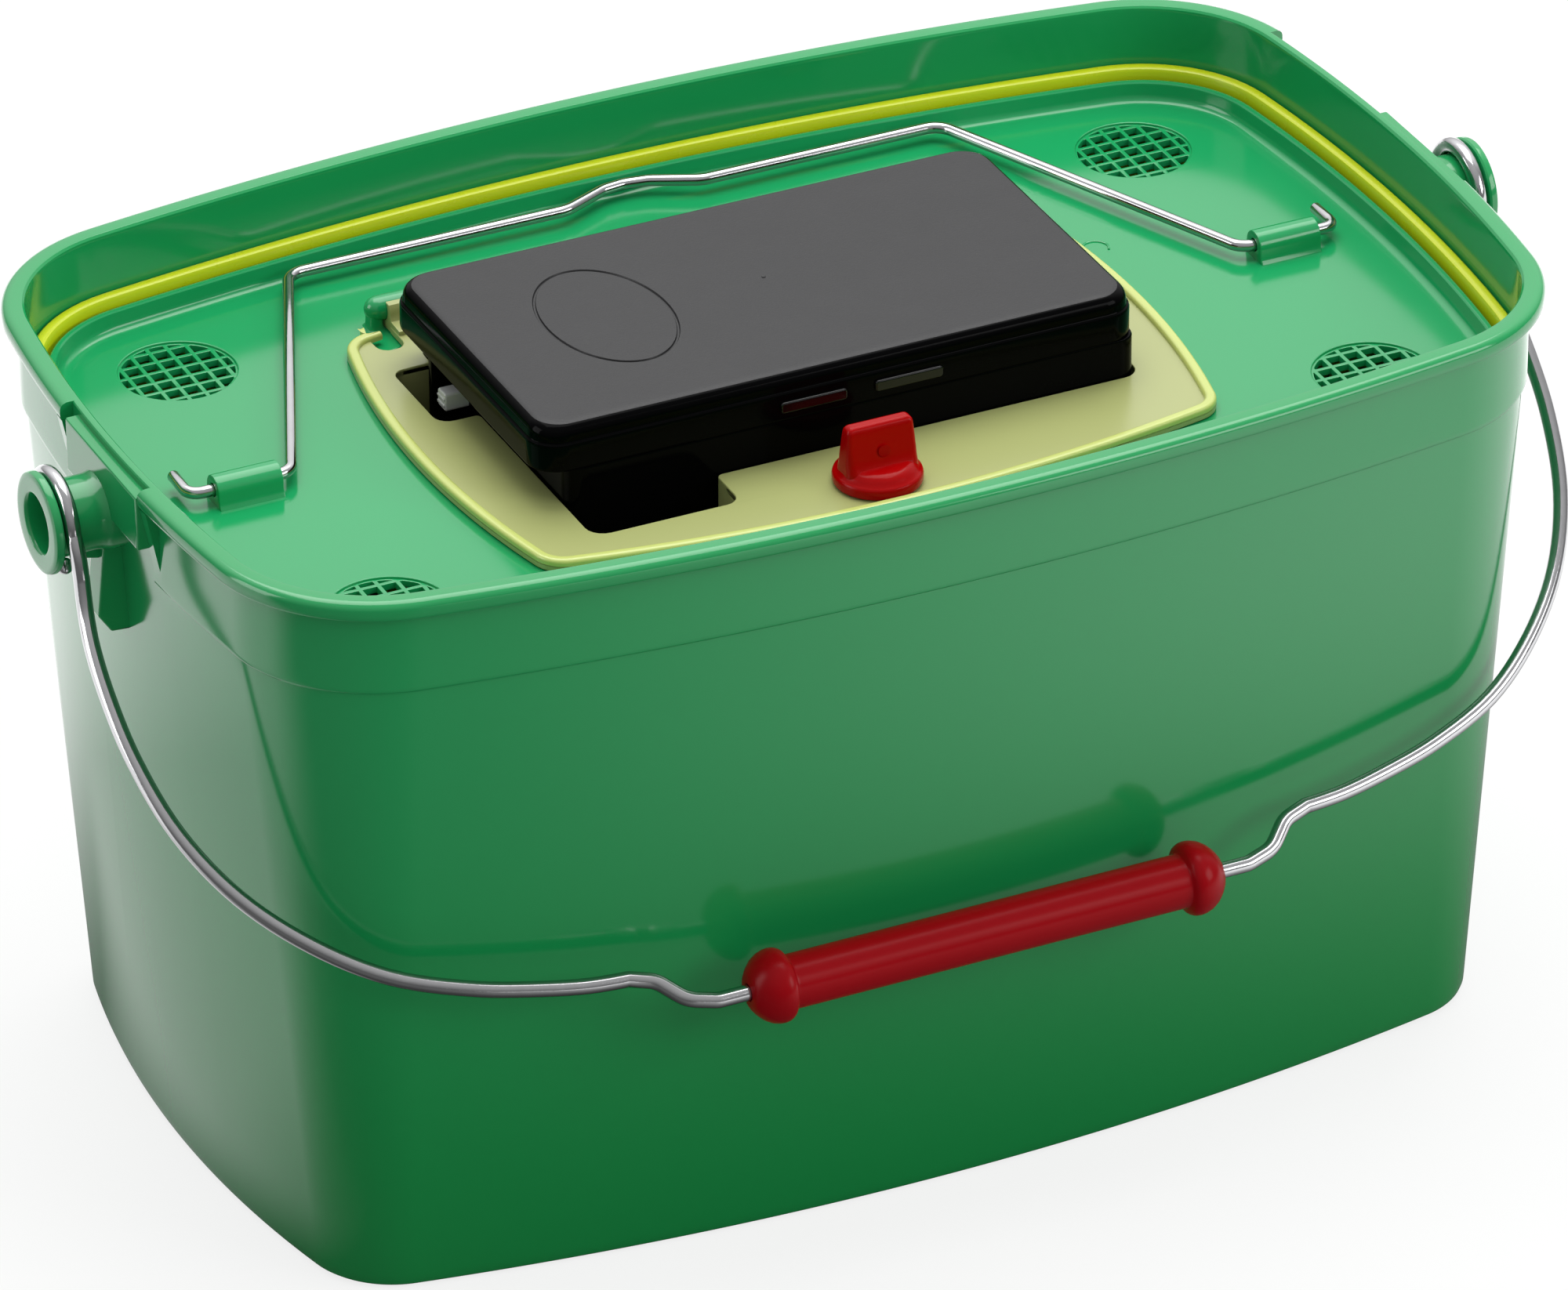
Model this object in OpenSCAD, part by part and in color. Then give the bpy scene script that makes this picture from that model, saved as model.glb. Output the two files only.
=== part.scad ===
// Oblong live-bait bucket: tapered tub, lift-out strainer bucket, vented lid with a
// lifting wire, hinged hatch with a turn latch, and a two-cell air pump that drops
// into the hatch and bubbles air through a hose and air stone.
// Frame: origin at the centre of the tub's flat underside, +Z up, X along the long
// side through the two ears, -Y towards the front where the carrying bail hangs.

/* [Tub] */
// Overall height of the tub, rim top above the flat base
tub_h = 197; // [193:0.5:200]
// Half length of the rim bead at the middle of the short side
rim_a = 177.3; // [176:0.1:178.5]
// Half width of the rim bead at the middle of the long side
rim_b = 112; // [110.5:0.5:114]
// Corner radius of the rim bead in plan
rim_r = 43; // [41:1:45]
// Bow of the long side of the rim
rim_bow = 18.1; // [17:0.1:19]
// Bow of the short side of the rim
rim_side_bow = 12.7; // [12:0.1:13.5]
// Thickness of the tub wall
tub_wall = 2.6; // [2.2:0.1:2.8]
// Thickness of the tub floor
tub_floor = 2.8; // [2:0.2:4]

/* [Ears and bail] */
// Height of the ear axis above the base
ear_z = 179.5; // [178:0.5:181]
// Outside radius of the ear boss that the bail eye turns on
boss_r = 9.2; // [9:0.1:9.6]
// Radius of the blind hole in the end of each ear
ear_hole_r = 7.2; // [6:0.1:7.6]
// Radius of the bail wire
bail_r = 2; // [1.7:0.1:2.1]
// Angle of the bail below horizontal as it rests against the front
bail_rest = 41; // [39:0.5:43]
// Length of the grip over its two ball ends
grip_len = 125; // [110:1:128]
// Radius of the grip's ball ends
ball_r = 9.2; // [8:0.1:9.4]

/* [Strainer bucket] */
// Thickness of the strainer wall
strainer_wall = 1.5; // [1.2:0.1:1.6]
// Width of a strainer slot
slot_w = 3; // [2:0.25:3.5]
// Height of a strainer slot
slot_h = 24; // [16:1:26]

/* [Lid] */
// Height of the lid panel's top face above the tub base
lid_z = 173.8; // [173.4:0.1:174.2]
// Thickness of the lid panel
lid_t = 2.4; // [2:0.1:2.4]
// Radius of each round vent
vent_r = 14.5; // [12:0.5:15.5]
// Pitch of the square mesh in the vents
vent_pitch = 4.75; // [4:0.25:6]
// Width of a mesh bar in the vents
vent_bar = 1.1; // [0.9:0.1:1.4]
// Radius of the lid's lifting wire
wire_r = 1.5; // [1.2:0.05:1.5]

/* [Hatch] */
// Offset of the hatch, knob and pump from the lid centre along X
hatch_x = -2.5; // [-3.5:0.5:-1.5]
// Half length of the hatch at its middle
hatch_a = 96; // [95:0.5:96.5]
// Radius of the latch knob's base disc
knob_r = 11; // [10:0.2:11.2]

/* [Pump] */
// Length of the pump case
pump_l = 158.5; // [157:0.5:160]
// Width of the pump case
pump_w = 87.3; // [86.5:0.1:87.6]
// Height of the pump's top face above the tub base
pump_top = 198; // [196.5:0.5:199]
// Radius of a size D cell
cell_r = 17.1; // [16.6:0.1:17.1]
// Length of a size D cell over its terminals
cell_l = 61.5; // [59.5:0.5:61.5]

/* [Hidden] */
$fn = 48;
clearance = 0.08;       // radial clearance of turning and sliding fits
slice_t = 0.02;         // thickness of the thin slices that hulls are stretched over
corner_steps = 6;       // segments in each rounded corner
seat_z = 178;           // step inside the tub that the strainer's lip hangs on
wire_z = lid_z + 3.6;   // axis of the lid's lifting wire
hinge_r = 3.1;          // hatch hinge pin
hinge_y = 62.5;
hinge_z = 178.9;
knob_y = -62.5;         // latch knob axis; its X is hatch_x
stem_r = 3.8;           // knob stem
stem_z = lid_z - 2.6;

// Pump envelope, shared by the hatch cradle and the pump
pump_left = hatch_x + 0.25 - pump_l/2;
pump_right = pump_left + pump_l;
pump_y = 0.65;
pump_front = pump_y - pump_w/2;
pump_back = pump_y + pump_w/2;
case_left = pump_left + 7.5;  // left wall of the case, set in under the cover
case_bottom = 153;
case_top = 186;               // parting line of the cover

// Plan shapes: four bowed sides joined by rounded corners, as
// [half length, half width, corner radius, bow of long side, bow of short side]
rim_shape = [rim_a, rim_b, rim_r, rim_bow, rim_side_bow];
base_shape = [rim_a - 13.9, rim_b - 11.8, rim_r - 19.4, rim_bow + 0.3, rim_side_bow + 3.4];
hatch_shape = [hatch_a, 70.1, 8.5, 11.5, 10.1];
opening_shape = [hatch_a - 6, 64.1, 3, 10.9, 9.5];  // lid opening under the hatch
hatch_centre = [hatch_x + 1.2, -6, 0];              // centre of the hatch and its opening

// ---------- plan outlines ----------
function arc_radius(half_chord, bow) = (half_chord*half_chord + bow*bow)/(2*bow);

// Arcs of the sides: [long side radius, its centre y, short side radius, its centre x]
function side_arcs(shape) = let(
    long_r = arc_radius(shape[0], shape[3]),
    short_r = arc_radius(shape[1], shape[4]))
    [long_r, shape[1] - long_r, short_r, shape[0] - short_r];

// Centre of the +X +Y corner arc, tangent inside both side arcs
function corner_centre(shape) = let(
    arcs = side_arcs(shape),
    span = [arcs[3], -arcs[1]],
    dist = norm(span),
    dir = span/dist,
    to_long = arcs[0] - shape[2],
    to_short = arcs[2] - shape[2],
    along = (to_long*to_long - to_short*to_short + dist*dist)/(2*dist),
    off = sqrt(max(to_long*to_long - along*along, 0)))
    [along*dir[0] + off*dir[1], arcs[1] + along*dir[1] - off*dir[0]];

function arc_point(centre, r, angle) = centre + r*[cos(angle), sin(angle)];

// Quarter of an outline, from the +X axis to the +Y axis
function quarter(shape, inset) = let(
    arcs = side_arcs(shape),
    corner = corner_centre(shape),
    long_c = [0, arcs[1]],
    short_c = [arcs[3], 0],
    start = atan2(corner[1], corner[0] - arcs[3]),
    end = atan2(corner[1] - arcs[1], corner[0]))
    concat(
        [for (i = [0:2]) arc_point(short_c, arcs[2] - inset, start*i/3)],
        [for (i = [0:corner_steps])
            arc_point(corner, shape[2] - inset, start + (end - start)*i/corner_steps)],
        [for (i = [1:5]) arc_point(long_c, arcs[0] - inset, end + (90 - end)*i/5)]);

// Full outline, its quarter mirrored about both axes without repeating the axis points
function outline(shape, inset = 0) = let(q = quarter(shape, inset), last = len(q) - 1)
    concat(q,
        [for (i = [last-1:-1:0]) [-q[i][0], q[i][1]]],
        [for (i = [1:last]) [-q[i][0], -q[i][1]]],
        [for (i = [last-1:-1:1]) [q[i][0], -q[i][1]]]);

function rounded_rect(x0, x1, y0, y1, r) =
    let(centres = [[x1 - r, y1 - r], [x0 + r, y1 - r], [x0 + r, y0 + r], [x1 - r, y0 + r]])
    [for (c = [0:3], i = [0:corner_steps]) arc_point(centres[c], r, 90*(c + i/corner_steps))];

// Pump rectangle from a given left side, all four sides moved in by inset
function pump_rect(left, inset, r) = rounded_rect(left + inset, pump_right - inset,
    pump_front + inset, pump_back - inset, r);

// ---------- solid helpers ----------
module prism(points, z, height) {
    translate([0, 0, z]) linear_extrude(height) polygon(points);
}
module slice(points, z) { prism(points, z, slice_t); }
module band(points, z0, z1) { prism(points, z0, z1 - z0); }
module box(at, size) { translate(at) cube(size); }
// cylinder standing along +Z
module post(at, r, h, sides = 48) { translate(at) cylinder(r = r, h = h, $fn = sides); }
// cylinder lying along +X
module rod(at, r, length, sides = 48) {
    translate(at) rotate([0, 90, 0]) cylinder(r = r, h = length, $fn = sides);
}
module flip_x(flip) { mirror([flip ? 1 : 0, 0, 0]) children(); }

// ---------- round bar swept along a 3-D path ----------
function unit(v) = v/norm(v);
function tangents(path) = let(last = len(path) - 1)
    [for (i = [0:last]) unit(path[min(i + 1, last)] - path[max(i - 1, 0)])];
// Pairs of cross-section axes, each carried on from the one before to avoid twist
function frames(dirs, up, i = 0) = i >= len(dirs) ? [] :
    let(side = unit(up - (up*dirs[i])*dirs[i]))
    concat([[side, cross(dirs[i], side)]], frames(dirs, side, i + 1));

module sweep(path, r, sides = 10, up = [0.11, 0.23, 0.97]) {
    axes = frames(tangents(path), up);
    last = len(path) - 1;
    points = [for (i = [0:last], k = [0:sides-1])
        path[i] + r*cos(360*k/sides)*axes[i][0] + r*sin(360*k/sides)*axes[i][1]];
    quads = [for (i = [0:last-1], k = [0:sides-1]) let(next = (k + 1)%sides)
        [i*sides + k, i*sides + next, (i + 1)*sides + next, (i + 1)*sides + k]];
    skin = [for (q = quads) each [[q[2], q[1], q[0]], [q[3], q[2], q[0]]]];
    caps = [[for (k = [0:sides-1]) k], [for (k = [sides-1:-1:0]) last*sides + k]];
    polyhedron(points = points, faces = concat(skin, caps), convexity = 6);
}

function lerp(a, b, t) = a + (b - a)*t;
// Point on the path's segment from i towards j, at most reach from i
function step_towards(path, i, j, reach) = let(leg = path[j] - path[i])
    path[i] + unit(leg)*min(reach, norm(leg)*0.45);
// Replaces each inner corner of a path by an arc-like run of steps + 1 points
function round_corners(path, reach, steps) = concat([path[0]],
    [for (i = [1:len(path)-2], j = [0:steps]) let(
        a = step_towards(path, i, i - 1, reach),
        b = step_towards(path, i, i + 1, reach),
        t = j/steps)
        lerp(lerp(a, path[i], t), lerp(path[i], b, t), t)],
    [path[len(path)-1]]);
function flat_path(points) = [for (p = points) [p[0], p[1], 0]];

// ---------- tub ----------
module ear() { // the right ear
    root_x = rim_a - 9;
    // gusset profile in X and Z
    gusset = [[root_x, 176], [rim_a - 1, 176], [rim_a + 2, 152], [rim_a - 2, 147], [rim_a - 11, 147]];
    box([root_x, -25, ear_z + 1.6], [9, 43, tub_h - ear_z - 4.2]);
    rod([root_x, 0, ear_z], boss_r, 22);
    rod([rim_a + 12.7, 0, ear_z], 12.6, 2.5); // flange that keeps the bail eye on
    translate([0, 6, 0]) rotate([90, 0, 0]) linear_extrude(12) polygon(gusset);
    box([root_x, -1.2, ear_z - 13.5], [12, 2.4, 8]);
}
module tub_rim() { // skirt and bead, interrupted at the ears
    difference() {
        union() {
            band(outline(rim_shape, 3.6), tub_h - 25.5, tub_h - 2);
            band(outline(rim_shape, 0), tub_h - 4.2, tub_h - 1);
            band(outline(rim_shape, 0.8), tub_h - 4.3, tub_h);
        }
        box([-200, -24.8, tub_h - 30], [70, 46.8, 40]);
        box([130, -24.8, tub_h - 30], [70, 90.8, 40]);
    }
}
module outer_bucket() {
    color([0.06, 0.45, 0.2])
    difference() {
        union() {
            hull() {
                slice(outline(base_shape, 2.2), 0);
                slice(outline(base_shape), 2.6);
                slice(outline(rim_shape, 3.2), tub_h - slice_t);
            }
            tub_rim();
            for (side = [-1, 1]) flip_x(side < 0) ear();
        }
        hull() {
            slice(outline(base_shape, tub_wall + 1.6), tub_floor);
            slice(outline(base_shape, tub_wall), tub_floor + 4);
            slice(outline(rim_shape, 7.2), seat_z - slice_t);
        }
        band(outline(rim_shape, 5.9), seat_z - 0.01, tub_h + 1);
        for (side = [-1, 1]) flip_x(side < 0) rod([rim_a + 0.5, 0, ear_z], ear_hole_r, 22);
    }
}

// ---------- carrying bail ----------
// Right half of the bail in its own plane: [across, out from the ear axis]
bail_half = [
    [0, 153.5], [66, 153.5], [74, 152.8], [84, 144.6], [100, 142.4],
    [114, 139.8], [128, 136.2], [146.5, 128.4], [162, 116.4], [175.2, 101],
    [184.2, 82.6], [188.5, 62.8], [189.7, 48], [189.4, 33.4], [188, 23]];
eye_x = 187.6;
eye_r = boss_r + 0.1 + bail_r; // centreline radius of the eye round the boss
// Lead-in and open loop of the eye: [across, out, below the bail's plane]
bail_eye = concat([[eye_x, 18.2, -2.9], [eye_x, 11.6, -6.6]],
    [for (t = [50:9.75:342.5]) [eye_x, eye_r*cos(t), -eye_r*sin(t)]]);
bail_side = concat(round_corners(flat_path(bail_half), 5, 2), bail_eye);
// Swings a point of the bail to its resting angle; side -1 gives the left half
function bail_point(p, side = 1) = [side*p[0],
    -p[1]*cos(bail_rest) + p[2]*sin(bail_rest),
    ear_z - p[1]*sin(bail_rest) - p[2]*cos(bail_rest)];
bail_path = concat(
    [for (i = [len(bail_side)-1:-1:1]) bail_point(bail_side[i], -1)],
    [for (p = bail_side) bail_point(p)]);

module bail_wire() {
    color([0.75, 0.76, 0.78]) sweep(bail_path, bail_r, 12);
}
// Profile of a ball end, as [radius, along the grip]
function ball_arc(centre, from) =
    [for (t = [from:15:from+150]) [4.2 + (ball_r - 4.2)*cos(t), centre + 5.2*sin(t)]];
module bail_grip() {
    end = grip_len/2;
    bore_r = bail_r + clearance;
    grip_r = 6.7;
    color([0.7, 0.02, 0.05])
    translate(bail_point([0, bail_half[0][1], 0]))
        rotate([0, 90, 0])
        rotate_extrude($fn = 40)
        polygon(concat(
            [[bore_r, -end], [4.5, -end]],
            ball_arc(6 - end, -60),
            [[grip_r, 12 - end], [grip_r, end - 12]],
            ball_arc(end - 6, -90),
            [[4.5, end], [bore_r, end]]));
}

// ---------- strainer bucket ----------
lip_z = seat_z + 0.1;
slot_pitch = 22;
module strainer_body() {
    hull() {
        slice(outline(base_shape, 7.5), 8);
        slice(outline(base_shape, 5.2), 11);
        slice(outline(rim_shape, 7.8), lip_z);
    }
    difference() {
        band(outline(rim_shape, 6.3), lip_z, 181.5);
        band(outline(rim_shape, 9.4), 170, 190);
    }
}
module strainer_cavity() { // all but a ledge left under the lid
    difference() {
        hull() {
            slice(outline(base_shape, 7.5 + strainer_wall), 9.8);
            slice(outline(base_shape, 5.2 + strainer_wall), 12.5);
            slice(outline(rim_shape, 9.4), 181.6);
        }
        difference() {
            band(outline(rim_shape, 4), lid_z - lid_t - 2.2, lid_z - lid_t);
            band(outline(rim_shape, 13.4), 150, 190);
        }
    }
}
module inner_bucket() {
    color([0.85, 0.88, 0.05])
    difference() {
        union() strainer_body();
        strainer_cavity();
        for (z = [30, 68, 106]) {
            for (i = [-5:5]) box([i*slot_pitch - slot_w/2, -130, z], [slot_w, 260, slot_h]);
            for (i = [-2:2]) box([-190, i*slot_pitch - slot_w/2, z], [380, slot_w, slot_h]);
        }
        for (i = [-4:4], j = [-2:2]) post([i*30, j*32, 5], 3, 8, 16); // floor holes
    }
}

// ---------- lid ----------
module vent_holes() {
    linear_extrude(20) intersection() {
        circle(r = vent_r, $fn = 40);
        union() for (i = [-3:3], j = [-3:3])
            translate([i*vent_pitch, j*vent_pitch]) square(vent_pitch - vent_bar, center = true);
    }
}
module sleeve(side) { // bearing for the lifting wire
    length = 16.8;
    r = 3.7;
    translate([side*139 - length/2, 0, wire_z]) difference() {
        union() {
            rod([0, 0, 0], r, length, 32);
            box([0, -r, -3.8], [length, 2*r, 3.8]);
        }
        rod([-1, 0, 0], wire_r + clearance, 19, 32);
    }
}
module hinge_post(side) { // moulded pin with a rounded end, on a short post
    translate([hatch_x + side*75, hinge_y, 0]) flip_x(side > 0) {
        rod([0, 0, hinge_z], hinge_r, 12, 32);
        translate([0, 0, hinge_z]) sphere(r = hinge_r, $fn = 32);
        box([-2.4, -2.2, lid_z - 1], [3.4, 4.4, hinge_z - lid_z + 1]);
    }
}
module lid_panel() {
    color([0.12, 0.5, 0.25])
    difference() {
        union() {
            difference() {
                band(outline(rim_shape, 10.6), lid_z - lid_t, 179);
                band(outline(rim_shape, 13), lid_z, 180);
                band(outline(rim_shape, 12.4), 178.2, 180);
            }
            for (side = [-1, 1]) {
                sleeve(side);
                hinge_post(side);
            }
        }
        // opening under the hatch, cut straight at the hinge side
        intersection() {
            translate(hatch_centre) prism(outline(opening_shape), lid_z - 10, 20);
            box([-110, -90, lid_z - 9], [220, 144, 9.5]);
        }
        for (i = [-1, 1], j = [-1, 1]) translate([i*129.8, j*63.5, lid_z - 10]) vent_holes();
    }
}
// Centreline of the lifting wire in plan, left end to right end: [x, y]
lid_wire_points = [
    [-152.9, 10.6], [-153.4, 0.1], [-148.6, 0], [-127, 0], [-88.5, 89.6],
    [-84, 90.4], [-14, 90.4], [4.5, 97.6], [23, 90.4], [85, 90.4],
    [89.5, 88.6], [127, 0], [148.6, 0], [153.4, 0.1], [152.9, 10.6]];
module lid_wire() {
    color([0.75, 0.76, 0.78])
    translate([0, 0, wire_z]) sweep(round_corners(flat_path(lid_wire_points), 3.4, 4), wire_r);
}

// ---------- hatch ----------
module at_knob(z) { translate([hatch_x, knob_y, z]) children(); }
module hatch_lug(side) { // hook that snaps under the hinge pin, open at the top
    width = 6;
    translate([hatch_x + side*70.5 - width/2, 0, 0]) difference() {
        union() {
            rod([0, hinge_y, hinge_z], 4.8, width, 40);
            box([0, 52, lid_z + 0.4], [width, 8, 3.2]);
        }
        rod([-1, hinge_y, hinge_z], hinge_r + clearance, width + 2, 40);
        box([-1, 50, hinge_z + 2.4], [width + 2, 20, 10]);
        box([-1, hinge_y + 2, lid_z - 1], [width + 2, 10, 12]);
    }
}
module hatch_panel() { // flat panel with a raised edge, cut straight at the back
    top = lid_z + 2.1;
    intersection() {
        translate(hatch_centre) union() {
            band(outline(hatch_shape), lid_z + 0.2, top);
            difference() {
                band(outline(hatch_shape), top - 0.5, top + 1.3);
                band(outline(hatch_shape, 2.2), top - 1, top + 3);
            }
        }
        box([-130, -90, 160], [260, 148, 40]);
    }
}
module hatch_door() {
    color([0.78, 0.82, 0.2, 0.9])
    difference() {
        union() {
            hatch_panel();
            box([hatch_x - 84, 55.8, lid_z + 0.4], [168, 2.2, 3]);
            // cradle that the pump case drops into
            band(pump_rect(case_left, -2, 6), case_bottom - 2, lid_z + 1);
            // pocket beside the switch
            band(rounded_rect(pump_left - 4.6, case_left + 3, 7, 37.8, 3), 159, lid_z + 1);
            for (side = [-1, 1]) hatch_lug(side);
            at_knob(stem_z) cylinder(r = 6, h = 4);
        }
        prism(pump_rect(case_left, -0.4, 4.6), case_bottom - 0.2, 60);
        // opening under the pump, leaving a supporting ledge
        prism(rounded_rect(case_left + 6, pump_right - 7, pump_front + 7, pump_back - 7, 4),
            case_bottom - 10, 20);
        prism(rounded_rect(pump_left - 3.4, case_left + 4, 8.2, 36.6, 2), 161, 30);
        // finger notch at the front
        prism(rounded_rect(case_left - 0.4, pump_left + 45.5, pump_front - 14.3, pump_front + 5, 3),
            case_bottom + 3, 40);
        at_knob(160) cylinder(r = stem_r + clearance, h = 30);
        // notches that clear the hinge posts
        for (side = [-1, 1])
            box([hatch_x + side*77.2 - 3.4, 46.8, lid_z - 1], [6.8, 14, 12]);
    }
}
module knob_grip() { // upright blade, tapered both ways
    intersection() {
        translate([0, 2.6, 0]) rotate([90, 0, 0]) linear_extrude(5.2)
            polygon([[-9.4, 0], [9.4, 0], [8.3, 13.2], [7.2, 14.6], [-7.2, 14.6], [-8.3, 13.2]]);
        translate([-12, 0, 0]) rotate([90, 0, 90]) linear_extrude(24)
            polygon([[-2.6, 0], [2.6, 0], [1.9, 14.6], [-1.9, 14.6]]);
    }
}
module latch_knob() {
    disc_z = lid_z + 2.3;
    color([0.75, 0.02, 0.04])
    difference() {
        union() {
            at_knob(disc_z) cylinder(r1 = knob_r, r2 = knob_r - 0.4, h = 2.2);
            at_knob(disc_z + 2.1) cylinder(r1 = knob_r - 1.8, r2 = 8.6, h = 2.4);
            at_knob(disc_z + 2) knob_grip();
            at_knob(stem_z) cylinder(r = stem_r, h = 6);
        }
        at_knob(lid_z - 3) cylinder(r = 1.3, h = 8, $fn = 24);
    }
}
tongue_z = 168.4; // underside of the tongue, with the screw head just below
module latch_tongue() {
    color([0.7, 0.05, 0.06])
    at_knob(tongue_z) difference() {
        prism(rounded_rect(-5, 14, -4.5, 4.5, 3), 0, 2.5);
        post([0, 0, -1], 1.75, 5, 24);
    }
}
module latch_screw() {
    color([0.7, 0.7, 0.72])
    at_knob(tongue_z) difference() {
        union() {
            post([0, 0, -2], 3.2, 1.9, 32);
            post([0, 0, -0.4], 1.25, 6.8, 24);
        }
        // cross recess
        box([-0.5, -2.2, -2.4], [1, 4.4, 1.2]);
        box([-2.2, -0.5, -2.4], [4.4, 1, 1.2]);
    }
}

// ---------- air pump: shared places ----------
case_wall = 2;
bay_l = 74.5;                        // length of the battery compartment
bay_left = pump_right - case_wall - bay_l;
cell_z = case_bottom + 19.2;
motor_x = case_left + 60;            // right-hand face of the motor
crank_y = 4;
crank_z = 172;
bracket_x = motor_x - 16;
bracket_t = 8;
bracket_z = case_bottom + 8.1;       // underside of the bracket's feet
rocker_x = motor_x - 41.5;
rocker_t = 2.4;
rocker_mid = rocker_x + rocker_t/2;  // also the diaphragm axis
pivot_y = crank_y + 27;
pivot_z = case_bottom + 12.9;
nozzle_x = case_left + 12;
nozzle_y = 24;
nozzle_r = 2.05;
air_bore_r = 1.1;
head_z = case_bottom + 1.85;         // underside of the air head
head_h = 4.2;
function cell_y(side) = pump_y + side*18.3;
module at_nozzle(z) { translate([nozzle_x, nozzle_y, z]) children(); }
module at_bracket_screws(z) {
    for (side = [-1, 1])
        translate([bracket_x + bracket_t/2, crank_y + side*16.2, z]) children();
}
// Frame of each cell: x = 0 at its button end. The front cell's button is at the
// left, the back cell's at the right.
module each_cell() {
    for (side = [-1, 1])
        translate([side < 0 ? bay_left + 0.6 : pump_right - 2.65, cell_y(side), cell_z])
            flip_x(side > 0) children();
}

// ---------- air pump: case and cover ----------
module rocker_fork() { // forked post that holds the rocker pin
    difference() {
        box([rocker_mid - 4.4, pivot_y - 4.2, case_bottom + 1], [8.8, 8.4, 17]);
        box([rocker_mid - 1.55, pivot_y - 7, case_bottom + 3], [3.1, 14, 20]);
        rod([case_left + 14, pivot_y, pivot_z], 1.52, 12, 32);
    }
}
module case_cavity() {
    difference() {
        prism(pump_rect(case_left, case_wall, 3.4), case_bottom + 1.8, 60);
        // partition beside the battery compartment
        box([bay_left - 1.6, pump_front, case_bottom], [1.6, pump_w, 28]);
        // saddle ribs under the cells
        for (x = [14, 44, 60]) box([bay_left + x, pump_front, case_bottom], [1.6, pump_w, 6]);
        at_bracket_screws(case_bottom + 1) cylinder(r = 3.2, h = 7, $fn = 24);
        rocker_fork();
    }
}
module pump_case() {
    shelf_x = pump_left + 0.8;
    color([0.04, 0.04, 0.045])
    difference() {
        union() {
            band(pump_rect(case_left, 0, 5), case_bottom, case_top);
            // shelf and web that guard the switch
            box([shelf_x, 9, 168], [8, 15.2, 2]);
            box([shelf_x, 22.2, 168], [8, 2, case_top - 168.4]);
        }
        case_cavity();
        for (side = [-1, 1]) rod([bay_left, cell_y(side), cell_z], cell_r + 0.3, bay_l - 0.1, 64);
        // switch slot, nozzle hole, screw holes
        box([case_left - 1, 10.1, 174], [4, 10.3, 5.2]);
        at_nozzle(case_bottom - 1) cylinder(r = 2.7, h = 6, $fn = 32);
        at_bracket_screws(case_bottom - 1) cylinder(r = 1.3, h = 20, $fn = 20);
    }
}
module pump_cover() {
    color([0.09, 0.09, 0.095])
    difference() {
        union() {
            // cover stepped in towards its top
            prism(pump_rect(pump_left, -0.3, 8), case_top + 0.1, 6.9);
            band(pump_rect(pump_left, 0.5, 7.4), case_top + 6, pump_top - 1.6);
            prism(pump_rect(pump_left, 1.1, 7), pump_top - 2, 1.2);
            prism(pump_rect(pump_left, 2.4, 6), pump_top - 1, 1);
            // spigot inside the case wall
            prism(pump_rect(case_left, 2.2, 3.2), case_top - 3, 5);
            // latch tabs on the front
            for (x = [-10.2, 15]) box([x - 8.8, pump_front - 1.2, case_top + 2.4], [17.6, 2, 3.2]);
        }
        band(pump_rect(case_left, 3.8, 3), case_top - 10, pump_top - 2);
        // hollow of the left overhang
        band(rounded_rect(pump_left + 2, pump_left + 20, pump_front + 3.8, pump_back - 3.8, 3),
            case_top + 1.8, pump_top - 2);
        // clear of the partition
        box([bay_left - 2.2, pump_front + 1, case_top - 6], [2.8, pump_w - 2, 6.2]);
        // fine oval groove in the top
        translate([-43.1, 2.9, pump_top - 0.4]) linear_extrude(1) difference() {
            scale([1, 1.55]) circle(r = 15.4, $fn = 64);
            scale([1, 1.56]) circle(r = 14.9, $fn = 64);
        }
    }
}

// ---------- air pump: battery ----------
module battery_cells() {
    color([0.15, 0.35, 0.6])
    each_cell() {
        rod([0, 0, 0], 4.7, 2, 32);
        rod([1.5, 0, 0], cell_r, cell_l - 1.7, 64);
        rod([cell_l - 0.3, 0, 0], 9.5, 0.3, 32);
    }
}
module battery_springs() { // three turns, widening away from the cell
    sweep_angle = 1080;
    rise = bay_l - 0.6 - cell_l - 2;
    coil = [for (t = [0:22.5:sweep_angle]) let(part = t/sweep_angle, r = 5 + 3*part)
        [0.65 + rise*part, r*cos(t), r*sin(t)]];
    color([0.8, 0.8, 0.82])
    each_cell() translate([cell_l + 0.05, 0, 0]) sweep(coil, 0.5, 8, [1, 0.1, 0.1]);
}
module contact_plates() {
    color([0.82, 0.7, 0.4]) {
        for (side = [-1, 1])
            box([bay_left + 0.05, cell_y(side) - 8, case_bottom + 8], [0.5, 16, 22]);
        box([pump_right - 2.55, pump_y - 27, case_bottom + 10], [0.5, 54, 18]);
    }
}

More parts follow.
